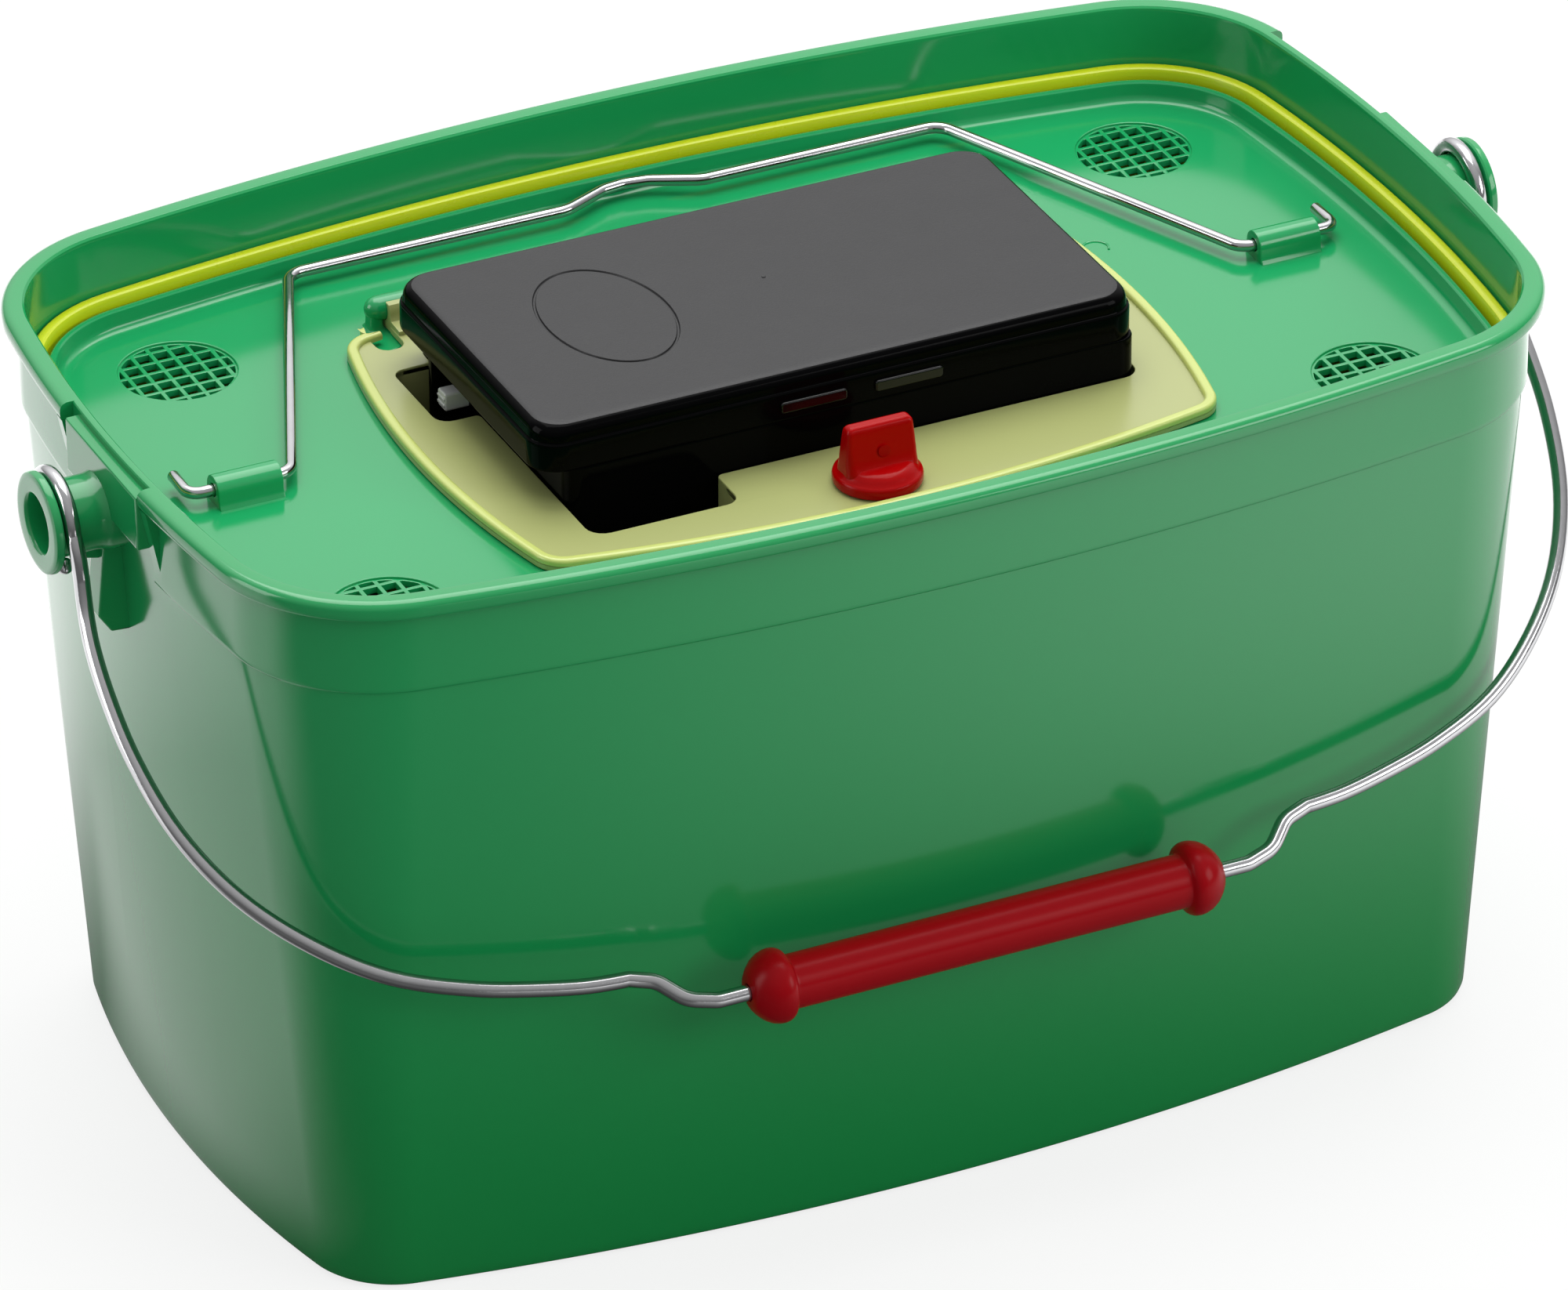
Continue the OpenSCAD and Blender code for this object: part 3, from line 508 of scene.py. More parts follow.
def catmull(points, steps):
    """Centripetal Catmull-Rom curve through 3-D points."""
    points = [Vector(p) for p in points]
    last = len(points) - 1
    out = []
    for i in range(last):
        p0, p1, p2, p3 = (points[min(max(i + k, 0), last)] for k in (-1, 0, 1, 2))
        t0 = 0.0
        t1 = t0 + max((p1 - p0).length, 1e-3) ** 0.5
        t2 = t1 + max((p2 - p1).length, 1e-3) ** 0.5
        t3 = t2 + max((p3 - p2).length, 1e-3) ** 0.5
        for k in range(steps):
            t = t1 + (t2 - t1) * k / steps
            a1 = (p0 * (t1 - t) + p1 * (t - t0)) / (t1 - t0)
            a2 = (p1 * (t2 - t) + p2 * (t - t1)) / (t2 - t1)
            a3 = (p2 * (t3 - t) + p3 * (t - t2)) / (t3 - t2)
            b1 = (a1 * (t2 - t) + a2 * (t - t0)) / (t2 - t0)
            b2 = (a2 * (t3 - t) + a3 * (t - t1)) / (t3 - t1)
            out.append((b1 * (t2 - t) + b2 * (t - t1)) / (t2 - t1))
    out.append(points[-1])
    return out


# ------------------------------------------------------------------ bowed outlines
# An outline is eight arcs, counterclockwise: right side, corner, back, corner, left side,
# corner, front, corner. Parameter u in [0, 8) gives the arc and the place along it.
RIM_COUNT = (30, 22, 48, 22) * 2    # points on each arc


@lru_cache(maxsize=None)
def outline_arcs(shape):
    """Radii and centres of the bowed sides, the corner's centre and its two end angles."""
    half_x, half_y, corner_r, bow_y, bow_x = shape
    back_r = (half_x * half_x + bow_y * bow_y) / (2 * bow_y)
    side_r = (half_y * half_y + bow_x * bow_x) / (2 * bow_x)
    back_y, side_x = -(back_r - half_y), -(side_r - half_x)
    # the corner's centre is where the two side arcs, drawn in by its radius, cross
    dx, dy = side_x, -back_y
    d = math.hypot(dx, dy)
    a, b = back_r - corner_r, side_r - corner_r
    t = (a * a - b * b + d * d) / (2 * d)
    h = math.sqrt(max(a * a - t * t, 0))
    ux, uy = dx / d, dy / d
    cx, cy = t * ux + h * uy, back_y + t * uy - h * ux
    return (back_r, side_r, back_y, side_x, cx, cy,
            math.atan2(cy - back_y, cx), math.atan2(cy, cx - side_x))


def outline_at(shape, u, inset=0.0):
    """Point and outward normal of an outline at parameter u."""
    back_r, side_r, back_y, side_x, cx, cy, a1, a2 = outline_arcs(shape)
    corner_r = shape[2]
    u = u % 8
    arc, t = int(u), u - int(u)
    (x, y), radius, angle = (
        ((side_x, 0), side_r, a2 * (2 * t - 1)),
        ((cx, cy), corner_r, a2 + (a1 - a2) * t),
        ((0, back_y), back_r, a1 + (pi - 2 * a1) * t),
        ((-cx, cy), corner_r, pi - a1 + (a1 - a2) * t),
        ((-side_x, 0), side_r, pi - a2 + 2 * a2 * t),
        ((-cx, -cy), corner_r, pi + a2 + (a1 - a2) * t),
        ((0, -back_y), back_r, pi + a1 + (pi - 2 * a1) * t),
        ((cx, -cy), corner_r, 2 * pi - a1 + (a1 - a2) * t),
    )[arc]
    nx, ny = math.cos(angle), math.sin(angle)
    return x + (radius - inset) * nx, y + (radius - inset) * ny, nx, ny


def parameters(count=RIM_COUNT):
    return [arc + i / n for arc, n in enumerate(count) for i in range(n)]


def outline(shape, inset=0.0, count=RIM_COUNT):
    return [outline_at(shape, u, inset)[:2] for u in parameters(count)]


def solve_u(shape, right, y):
    """Parameter at which the right or the left side reaches this y."""
    low, high = (-1.0, 2.0) if right else (3.0, 6.0)
    for _ in range(60):
        middle = (low + high) / 2
        if (outline_at(shape, middle)[1] - y < 0) == right:
            low = middle
        else:
            high = middle
    return (low + high) / 2


def open_outline(shape, inset, back_limit, count):
    """Hatch outline in front of back_limit, from the rear left round the front to the rear right."""
    points = [(x + HATCH_X, y + HATCH_Y) for x, y in outline(shape, inset, count)]
    points = [p for p in points if p[1] < back_limit]
    gap = max(range(len(points)), key=lambda i: math.dist(points[i], points[i - 1]))
    return points[gap:] + points[:gap]


def section_point(wall, u, track, z, inset):
    """Point set in from the rim outline (track "rim") or from a tapered wall ("wall")."""
    if track == "rim":
        return (*outline_at(RIM, u, inset)[:2], z)
    z0, z1, base_inset, rim_inset = wall
    k = min(max((z - z0) / (z1 - z0), 0), 1)
    bx, by, bnx, bny = outline_at(BASE, u, base_inset)
    rx, ry, rnx, rny = outline_at(RIM, u, rim_inset)
    nx, ny = bnx * (1 - k) + rnx * k, bny * (1 - k) + rny * k
    length = math.hypot(nx, ny)
    return (bx * (1 - k) + rx * k - nx / length * inset,
            by * (1 - k) + ry * k - ny / length * inset, z)


def track(name, pairs):
    return [(name, z, inset) for z, inset in pairs]


# ------------------------------------------------------------------ tub
# Section tables hold (z, inset) and run up the outside, over the rim and down the inside.
TUB_FOOT = [(0.0, 9.0), (0.0, 2.4), (0.3, 1.25), (0.95, 0.45), (2.0, 0.05)]
TUB_OUTER_Z = (4, 12, 30, 50, 70, 90, 110, 130, 148, 160, 167, 170.4)
TUB_SKIRT = [(170.9, 4.45), (171.15, 4.05), (171.6, 3.8), (172.6, 3.7), (176.0, 3.7),
             (184.0, 3.7), (190.6, 3.7), (191.7, 3.5), (192.2, 2.9)]
TUB_BEAD = [(192.35, 1.2), (192.6, 0.45), (193.2, 0.08), (194.2, 0.0), (195.3, 0.05),
            (196.0, 0.3), (196.6, 0.9), (196.93, 1.7), (197.0, 2.6)]
PLAIN_EDGE = [(196.6, 3.35), (196.93, 3.6), (197.0, 3.9)]
TUB_LIP = [(197.0, 4.5), (196.85, 5.15), (196.35, 5.65), (195.5, 5.85), (190, 5.9),
           (184, 5.95), (179.2, 6.0), (178.3, 6.1), (178.0, 6.5), (177.9, 7.3)]
TUB_INNER_TOP = [(176.5, 3.5), (172, 3.3), (165, 3.1)]
TUB_INNER_Z = (150, 120, 90, 60, 30, 12)
TUB_FLOOR = [(7.5, 2.75), (5.2, 3.4), (3.7, 4.7), (2.9, 6.6), (2.8, 9)]
# The bead and skirt are left out between these y values on the left and on the right.
LEFT_GAP_Y, RIGHT_GAP_Y = (22.0, -24.8), (-24.8, 66.0)
GAP_END_U = 0.028       # length of the rib at each end of a gap, along u
# Boss on the tub's end wall: (radius, x), out along the sleeve and flange, back down the bore.
BOSS = [(0.0, 172.3), (9.9, 172.3), (9.9, 176.6), (9.55, 177.4), (9.25, 178.6), (BOSS_R, 180),
        (BOSS_R, 189.0), (9.35, 189.5), (9.8, 189.85), (11.6, 189.95), (12.3, 190.15),
        (12.6 - 0.1 + 0.0, 190.6), (12.5, 191.6), (12.35, 192.15), (11.8, 192.45), (11.0, 192.5),
        (8.3, 192.5), (7.75, 192.4), (7.4, 192.05), (7.25, 191.5), (7.2, 190.5), (7.0, 179.5),
        (6.5, 178.7), (5.5, 178.4), (0.0, 178.4)]
BOSS[11:13] = [(12.6, 190.6), (12.6, 191.6)]


def tub_section(kind):
    """Section of the tub: "full" with bead and skirt, "plain" in a gap, "end" at a gap's end."""
    out = track("wall", TUB_FOOT + [(z, 0.0) for z in TUB_OUTER_Z])
    if kind == "full":
        out += track("rim", TUB_SKIRT)
    elif kind == "end":
        out += track("rim", [(z, d if z <= 176 else 3.7 - (z - 176) * 0.2)
                             for z, d in TUB_SKIRT])
    else:
        out += track("wall", [(z, 0.0) for z, _ in TUB_SKIRT])
    if kind == "plain":
        out += track("rim", [(z, max(d, 3.3)) for z, d in TUB_BEAD[:-3]] + PLAIN_EDGE)
    else:
        out += track("rim", TUB_BEAD)
    out += track("rim", TUB_LIP)
    out += track("wall", TUB_INNER_TOP + [(z, 2.6) for z in TUB_INNER_Z] + TUB_FLOOR)
    return out


def tub_stations():
    """(u, section kind) round the tub, with a pair of stations at each change of kind."""
    gaps = [tuple(solve_u(RIM, False, y) for y in LEFT_GAP_Y),
            tuple(solve_u(RIM, True, y) for y in RIGHT_GAP_Y)]

    def kind(u):
        for start, end in gaps:
            if start < u < end:
                return "plain"
            if start - GAP_END_U < u < start or end < u < end + GAP_END_U:
                return "end"
        return "full"

    changes = [round(u, 6) for start, end in gaps
               for u in (start - GAP_END_U, start, end, end + GAP_END_U)]
    stations = [(u, kind(u)) for u in parameters()
                if all(abs(u - change) > 0.004 for change in changes)]
    for change in changes:
        stations.append((change - 1e-7, kind(change - 0.001)))
        stations.append((change + 1e-7, kind(change + 0.001)))
    return sorted(stations)


def build_tub():
    stations = tub_stations()
    sections = {kind: tub_section(kind) for kind in ("full", "plain", "end")}
    shape = Shape()
    shape.add(*loft([[section_point(TUB_WALL, u, *sections[kind][j]) for u, kind in stations]
                     for j in range(len(sections["full"]))]))
    block = [(-25.0, 181.2), (18.0, 181.2), (18.0, 195.2), (-25.0, 195.2)]
    web = round_poly([(171.2, 177), (176.6, 177), (179.1, 152.4), (175.9, 147.6),
                      (169.6, 147.2)], [0.2, 0.5, 1.0, 1.0, 0.2], 4)
    rib = [(171.0, 165.2), (181.5, 167.8), (181.5, 171.2), (171.0, 171.2)]
    for side in (-1, 1):
        for verts, faces in (
                plate(block, [], 172.3, 177.2, bevel=0.7, axis="x"),    # inside the rim
                lathe(BOSS, "x", (0, 0, EAR_Z), 56),
                plate(web, [], -3.6, 3.6, bevel=0.5, axis="y"),         # below the boss
                plate(rib, [], -1.0, 1.0, bevel=0.35, axis="y")):       # under the boss
            shape.add([(side * x, y, z) for x, y, z in verts], faces)
    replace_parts(shape.build("tub", [GREEN], "tub"), "outer_bucket")


# ------------------------------------------------------------------ strainer bucket
STRAINER_COUNT = (26, 14, 40, 14) * 2
STRAINER = (
    track("wall", [(8.0, 8.0), (8.0, 2.6), (8.5, 1.3), (9.6, 0.35), (11.5, 0.0), (40, 0),
                   (80, 0), (120, 0), (150, 0), (170, 0), (178.0, 0.0)])
    + track("rim", [(178.15, 7.7), (178.15, 6.8), (178.35, 6.4), (178.9, 6.3), (180.2, 6.3),
                    (181.0, 6.5), (181.4, 7.0), (181.5, 7.7), (181.4, 8.6), (181.0, 9.2),
                    (180.2, 9.5), (178.5, 9.55)])
    + track("wall", [(176.5, 1.7), (172.2, 1.6)])
    + track("rim", [(171.55, 10.9), (171.3, 11.3), (171.3, 13.0), (171.0, 13.3),
                    (169.6, 13.3), (169.2, 13.0)])
    + track("wall", [(168.9, 1.6), (150, 1.5), (120, 1.5), (80, 1.5), (40, 1.5), (14, 1.55),
                     (11.4, 2.1), (10.1, 3.4), (9.8, 8.0)]))
SLOT_PITCH, SLOT_HALF_W, SLOT_H = 22, 1.5, 24
SLOT_ROWS = (30, 68, 106)       # z at the foot of each row
FLOOR_HOLE_R, FLOOR_PITCH_X, FLOOR_PITCH_Y = 3, 30, 32


def strainer_cutter():
    """Wall slots and floor holes as one cutting object."""
    shape = Shape()

    def slot(i, z, start, end, axis):
        middle = i * SLOT_PITCH
        shape.add(*plate(round_rect(middle - SLOT_HALF_W, middle + SLOT_HALF_W, z, z + SLOT_H,
                                    1.2, 3), [], start, end, bevel=0, axis=axis))

    for z in SLOT_ROWS:
        for i in range(-5, 6):
            slot(i, z, -130, 130, "y")
        for i in range(-2, 3):
            slot(i, z, -190, -140, "x")
            slot(i, z, 140, 190, "x")
    for i in range(-4, 5):
        for j in range(-2, 3):
            shape.add(*lathe([(FLOOR_HOLE_R, 5), (FLOOR_HOLE_R, 12.6)], "z",
                             (i * FLOOR_PITCH_X, j * FLOOR_PITCH_Y, 0), 20))
    cutter = bpy.data.objects.new("cutter", shape.mesh("cutter", [YELLOW]))
    SCENE.collection.objects.link(cutter)
    return cutter


def build_strainer():
    shape = Shape()
    shape.add(*loft([[section_point(STRAINER_WALL, u, *station)
                      for u in parameters(STRAINER_COUNT)] for station in STRAINER]))
    ob = shape.build("strainer", [YELLOW], "strainer", weighted=False)
    cutter = strainer_cutter()
    holes = ob.modifiers.new("holes", "BOOLEAN")
    holes.operation = "DIFFERENCE"
    holes.solver = "EXACT"
    holes.object = cutter
    depsgraph = bpy.context.evaluated_depsgraph_get()
    cut_mesh = bpy.data.meshes.new_from_object(ob.evaluated_get(depsgraph))
    ob.modifiers.clear()
    ob.data = cut_mesh
    bpy.data.objects.remove(cutter)
    finish_mesh(cut_mesh)
    ob.modifiers.new("wn", "WEIGHTED_NORMAL").keep_sharp = True
    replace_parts(ob, "inner_bucket")


# ------------------------------------------------------------------ lid
VENT_X, VENT_Y = 129.8, 63.5
MESH_PITCH, MESH_BAR = 4.75, 1.15
# Ridge round the lid: (inset from RIM, z), with a soft foot on the panel side.
LID_RIDGE = [(11.2, LID_Z - 2.4), (10.75, LID_Z - 2.2), (10.6, LID_Z - 1.6), (10.6, 177.9),
             (10.7, 178.5), (11.05, 178.9), (11.6, 179.0), (12.15, 178.9), (12.5, 178.55),
             (12.65, 177.9), (12.9, 175.9), (13.2, 174.85), (13.8, 174.2),
             (14.8, LID_Z + 0.06), (15.8, LID_Z + 0.01), (15.9, LID_Z - 0.6),
             (13.5, LID_Z - 2.0)]
# Left hinge pin: (radius, x from HINGE_X), from its outer end inwards.
HINGE_PIN = [(0, -78.1), (1.2, -77.9), (2.2, -77.2), (2.85, -76.2), (3.1, -75.0),
             (3.1, -63.4), (2.95, -63.1), (2.7, -63.0), (0, -63.0)]
# Hinge post: (z, scale of its section).
HINGE_POST = [(LID_Z - 0.5, 1.45), (LID_Z, 1.4), (LID_Z + 0.3, 1.18), (LID_Z + 0.9, 1.05),
              (LID_Z + 2.0, 1.0), (HINGE_Z + 0.5, 0.98)]


def clip_circle(points, radius, sides=64):
    """Polygon cut by a circle about the origin."""
    out = points
    for k in range(sides):
        angle = 2 * pi * k / sides
        nx, ny = math.cos(angle), math.sin(angle)
        source, out = out, []
        for i, q in enumerate(source):
            p = source[i - 1]
            dp, dq = nx * p[0] + ny * p[1] - radius, nx * q[0] + ny * q[1] - radius
            if (dp <= 0) != (dq <= 0):
                t = dp / (dp - dq)
                out.append((p[0] + (q[0] - p[0]) * t, p[1] + (q[1] - p[1]) * t))
            if dq <= 0:
                out.append(q)
        if len(out) < 3:
            return []
    return out


def mesh_cells():
    """Square openings of one vent, clipped to a circle; slivers are left out."""
    half = (MESH_PITCH - MESH_BAR) / 2
    cells = []
    for i in range(-3, 4):
        for j in range(-3, 4):
            x, y = i * MESH_PITCH, j * MESH_PITCH
            square = [(x - half, y - half), (x + half, y - half),
                      (x + half, y + half), (x - half, y + half)]
            cell = dedupe(clip_circle(square, 14.0), 0.02)
            if len(cell) >= 3 and abs(area(cell)) > 1.2:
                cells.append(cell)
    return cells


def wire_sleeve(side):
    """Block with a rounded top round the lid wire's end."""
    foot = [(4.9, LID_Z - 0.4), (4.7, LID_Z + 0.25), (4.2, LID_Z + 0.9), (3.95, LID_Z + 1.8)]
    dome = [(3.85 * math.cos(t), LID_WIRE_Z + 3.7 * math.sin(t))
            for t in [pi * k / 16 for k in range(17)]]
    section = [(-4.9, LID_Z - 0.4)] + foot + dome + [(-y, z) for y, z in foot[:0:-1]]
    return plate(section, [circle(0, LID_WIRE_Z, 1.66, 24)], side * 139 - 8.4,
                 side * 139 + 8.4, bevel=0.35, seg=2, axis="x")


def hinge_post(x):
    section = round_rect(x - 1.7, x + 1.7, HINGE_Y - 2.2, HINGE_Y + 2.2, 1.0, 4)
    return loft([[(x + (px - x) * k, HINGE_Y + (py - HINGE_Y) * k, z) for px, py in section]
                 for z, k in HINGE_POST])


def build_lid():
    shape = Shape()
    hole = open_outline(LID_HOLE, 0, 54.0, (20, 6, 30, 6) * 2)
    hole = round_poly(hole + [(hole[-1][0], 54.0), (hole[0][0], 54.0)],
                      [0] * len(hole) + [2.0, 2.0], 4)
    vents = [(sx * VENT_X, sy * VENT_Y) for sx in (-1, 1) for sy in (-1, 1)]
    shape.add(*plate(outline(RIM, 11.0), [hole] + [circle(x, y, 14.6) for x, y in vents],
                     LID_Z - 2.4, LID_Z, bevel=0.35))
    cells = mesh_cells()
    for x, y in vents:
        shape.add(*plate(circle(x, y, 15.2), [[(px + x, py + y) for px, py in c] for c in cells],
                         LID_Z - 2.2, LID_Z - 0.55, bevel=0.22, seg=2, bottom=0))
    shape.add(*loft([[(x, y, z) for x, y in outline(RIM, inset)] for inset, z in LID_RIDGE],
                    closed=True))
    for side in (-1, 1):
        shape.add(*wire_sleeve(side))
        pin = HINGE_PIN if side < 0 else [(r, -x) for r, x in HINGE_PIN[::-1]]
        shape.add(*lathe(pin, "x", (HINGE_X, HINGE_Y, HINGE_Z), 32))
        shape.add(*hinge_post(HINGE_X + side * 75.7))
    # raised arc on the right of the panel
    mark = [(x, y, LID_Z) for x, y in arc_points(98, 21.5, 3.3, -40, 250, 25)]
    shape.add(*tube(mark, 0.35, 8))
    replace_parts(shape.build("lid", [GREEN_LID], "lid"), "lid_panel")


# Corners of the lid wire: x, y, bend radius.
LID_WIRE = [(-153.2, 10.8, 0), (-153.4, 0, 3.2), (-127.2, 0, 5.0), (-88.9, 90.4, 6.0),
            (-14, 90.4, 9), (-1.5, 96.2, 9), (4.5, 97.0, 9), (11, 96.0, 9), (23, 90.4, 9),
            (88.9, 90.4, 6.0), (127.2, 0, 5.0), (153.4, 0, 3.2), (153.2, 10.8, 0)]


def build_lid_wire():
    shape = Shape()
    path = fillet([(x, y, LID_WIRE_Z) for x, y, _ in LID_WIRE], [r for *_, r in LID_WIRE], 8)
    shape.add(*tube(path, LID_WIRE_R, 18))
    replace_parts(shape.build("lid_wire_bent", [STEEL], "lifting_wire", sharp=60,
                            weighted=False), "lid_wire")


# ------------------------------------------------------------------ hatch
HATCH_COUNT = (24, 8, 40, 8) * 2
HATCH_BACK = 58.0       # y of the rear edge


def hatch_contour(front):
    """Outer edge of the hatch, with a notch at each hinge post."""
    left, right = front[0][0], front[-1][0]
    back = [(right - 0.6, HATCH_BACK), (HINGE_X + 81.0, HATCH_BACK), (HINGE_X + 80.6, 46.8),
            (HINGE_X + 73.8, 46.8), (HINGE_X + 73.6, HATCH_BACK),
            (HINGE_X - 73.6, HATCH_BACK), (HINGE_X - 73.8, 46.8), (HINGE_X - 80.6, 46.8),
            (HINGE_X - 81.0, HATCH_BACK), (left + 0.6, HATCH_BACK)]
    radii = [3.2, 1.6, 3.1, 3.1, 0.8, 0.8, 3.1, 3.1, 1.6, 3.2]
    return round_poly(front + back, [0] * len(front) + radii, 4)


def pump_opening():
    """Opening for the pump, with a pocket at its left and a notch at its front left."""
    notch_y = PUMP_Y0 - 14.3
    corners = [  # x, y, radius
        (CASE_X0 - 0.4, notch_y, 4.6), (-36.0, notch_y, 3.6), (-36.0, PUMP_Y0 - 0.4, 1.6),
        (PUMP_X1 + 0.5, PUMP_Y0 - 0.4, 4.5), (PUMP_X1 + 0.5, PUMP_Y1 + 0.4, 4.5),
        (CASE_X0 - 0.4, PUMP_Y1 + 0.4, 4.5), (CASE_X0 - 0.4, 36.6, 0.8),
        (COVER_X0 - 3.4, 36.6, 3.0), (COVER_X0 - 3.4, 8.2, 4.0), (CASE_X0 - 0.4, 8.2, 1.4)]
    return round_poly([(x, y) for x, y, _ in corners], [r for *_, r in corners], 5)


def hatch_lip(front):
    """Loop of the lip round the front, left and right, ending at the hinge notches."""
    inner = open_outline(HATCH, 2.9, 53.5, HATCH_COUNT)
    right_end = [(front[-1][0] - 0.6, HATCH_BACK), (HINGE_X + 81.2, HATCH_BACK),
                 (HINGE_X + 81.0, 55.2), (inner[-1][0] - 0.4, 55.2)]
    left_end = [(inner[0][0] + 0.4, 55.2), (HINGE_X - 81.0, 55.2),
                (HINGE_X - 81.2, HATCH_BACK), (front[0][0] + 0.6, HATCH_BACK)]
    radii = ([0] * len(front) + [3.2, 1.2, 1.0, 1.0]
             + [0] * len(inner) + [1.0, 1.0, 1.2, 3.2])
    return round_poly(front + right_end + inner[::-1] + left_end, radii, 4)


def hinge_lug(side):
    """Hook under a hinge pin, open at the top."""
    x = HINGE_X + side * 70.5
    section = ([(HINGE_Y + 2.0, HINGE_Z - 4.36)]
               + arc_points(HINGE_Y, HINGE_Z, 4.8, -70, -20, 3)
               + [(52.2, LID_Z + 0.4), (52.2, LID_Z + 3.2), (57.2, LID_Z + 3.5)]
               + arc_points(HINGE_Y, HINGE_Z, 4.8, 186, -36, 5)
               + arc_points(HINGE_Y, HINGE_Z, 3.2, 131, 176, 18)
               + [(HINGE_Y + 2.0, HINGE_Z - 2.55)])
    return plate(section, [], x - 3.0, x + 3.0, bevel=0.22, seg=2, axis="x")


def case_rect(left, grow, radius):
    """Rounded rectangle round the pump case; left and grow are its margins."""
    return round_rect(CASE_X0 - left, PUMP_X1 + grow, PUMP_Y0 - grow, PUMP_Y1 + grow, radius, 5)


def build_hatch():
    shape = Shape()
    front = open_outline(HATCH, 0, 55.5, HATCH_COUNT)
    opening = pump_opening()
    shape.add(*plate(hatch_contour(front), [opening, circle(KNOB_X, KNOB_Y, 3.9, 28)],
                     LID_Z + 0.2, HATCH_TOP, bevel=0.3))
    shape.add(*plate(hatch_lip(front), [], HATCH_TOP - 0.6, HATCH_TOP + 1.35, bevel=1.0, seg=5,
                     bottom=0), 1)
    # cradle under the opening: wall, ledge and foot
    shape.add(*plate(offset(dedupe(opening), -1.7), [opening], CASE_Z0 + 1.5,
                     HATCH_TOP - 0.35, bevel=0.2, seg=2))
    ledge = case_rect(2, 2, 6)
    ledge_hole = round_rect(CASE_X0 + 6, PUMP_X1 - 7, PUMP_Y0 + 7, PUMP_Y1 - 7, 4, 5)
    shape.add(*plate(ledge, [ledge_hole], CASE_Z0 - 2, CASE_Z0 - 0.25, bevel=0.3, seg=2))
    shape.add(*plate(ledge, [case_rect(0.4, 0.4, 4.6)], CASE_Z0 - 1.0, CASE_Z0 + 3.0,
                     bevel=0.2, seg=2))
    # rear wall between the notches
    shape.add(*plate(round_rect(HINGE_X - 72.5, HINGE_X + 72.5, 55.8, HATCH_BACK, 0.6, 3), [],
                     LID_Z + 0.4, LID_Z + 3.4, bevel=0.35, seg=2))
    for side in (-1, 1):
        shape.add(*hinge_lug(side))
    # boss round the knob's spindle
    boss = [(3.9, LID_Z - 2.4), (5.8, LID_Z - 2.4), (6, LID_Z - 2.2), (6, LID_Z + 1),
            (3.9, LID_Z + 1)]
    shape.add(*lathe(boss, "z", (KNOB_X, KNOB_Y, 0), 32, closed=True))
    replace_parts(shape.build("hatch", [HATCH_PANEL, HATCH_EDGE], "hatch"),
                "hatch_door")


# Knob base and spindle: (radius, z above KNOB_Z).
KNOB_Z = LID_Z + 2.3
KNOB_BASE = [(0, -4.6), (3.8, -4.6), (3.8, 0.1), (10.2, 0.1), (10.7, 0.3), (11.0, 0.9),
             (11.0, 2.2), (10.8, 2.8), (10.4, 3.15), (10.0, 3.35), (9.5, 4.0), (8.7, 4.9),
             (7.4, 5.6), (0, 5.9)]
# Knob wing: z above KNOB_Z, half width, half thickness, corner radius.
KNOB_WING = [(2.2, 9.5, 5.2, 3.6), (3.4, 9.45, 5.0, 3.2), (4.4, 9.4, 4.7, 2.8),
             (5.2, 9.35, 4.3, 2.4), (6.4, 9.3, 3.6, 2.0), (8.0, 9.25, 3.2, 1.7),
             (10.5, 9.05, 2.7, 1.4), (13.0, 8.85, 2.3, 1.2), (14.6, 8.7, 2.05, 1.1),
             (15.4, 8.45, 1.85, 1.0), (15.9, 8.0, 1.5, 0.9), (16.15, 7.4, 1.0, 0.6),
             (16.2, 6.8, 0.5, 0.35)]


def build_knob():
    shape = Shape()
    shape.add(*lathe(KNOB_BASE, "z", (KNOB_X, KNOB_Y, KNOB_Z), 56))
    rings = []
    for z, width, thick, radius in KNOB_WING:
        section = round_rect(-width, width, -thick, thick, min(radius, thick * 0.95), 5)
        rings.append([(KNOB_X + x, KNOB_Y + y, KNOB_Z + z) for x, y in section])
    shape.add(*loft(rings))
    # small button on the wing
    shape.add(*lathe([(0, 0.45), (0.8, 0.4), (1.4, 0.15), (1.6, -0.3), (0, -0.4)], "y",
                     (KNOB_X + 0.2, KNOB_Y - 3.05, KNOB_Z + 9.4), 20))
    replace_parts(shape.build("knob", [RED_KNOB], "latch", sharp=38), "latch_knob")


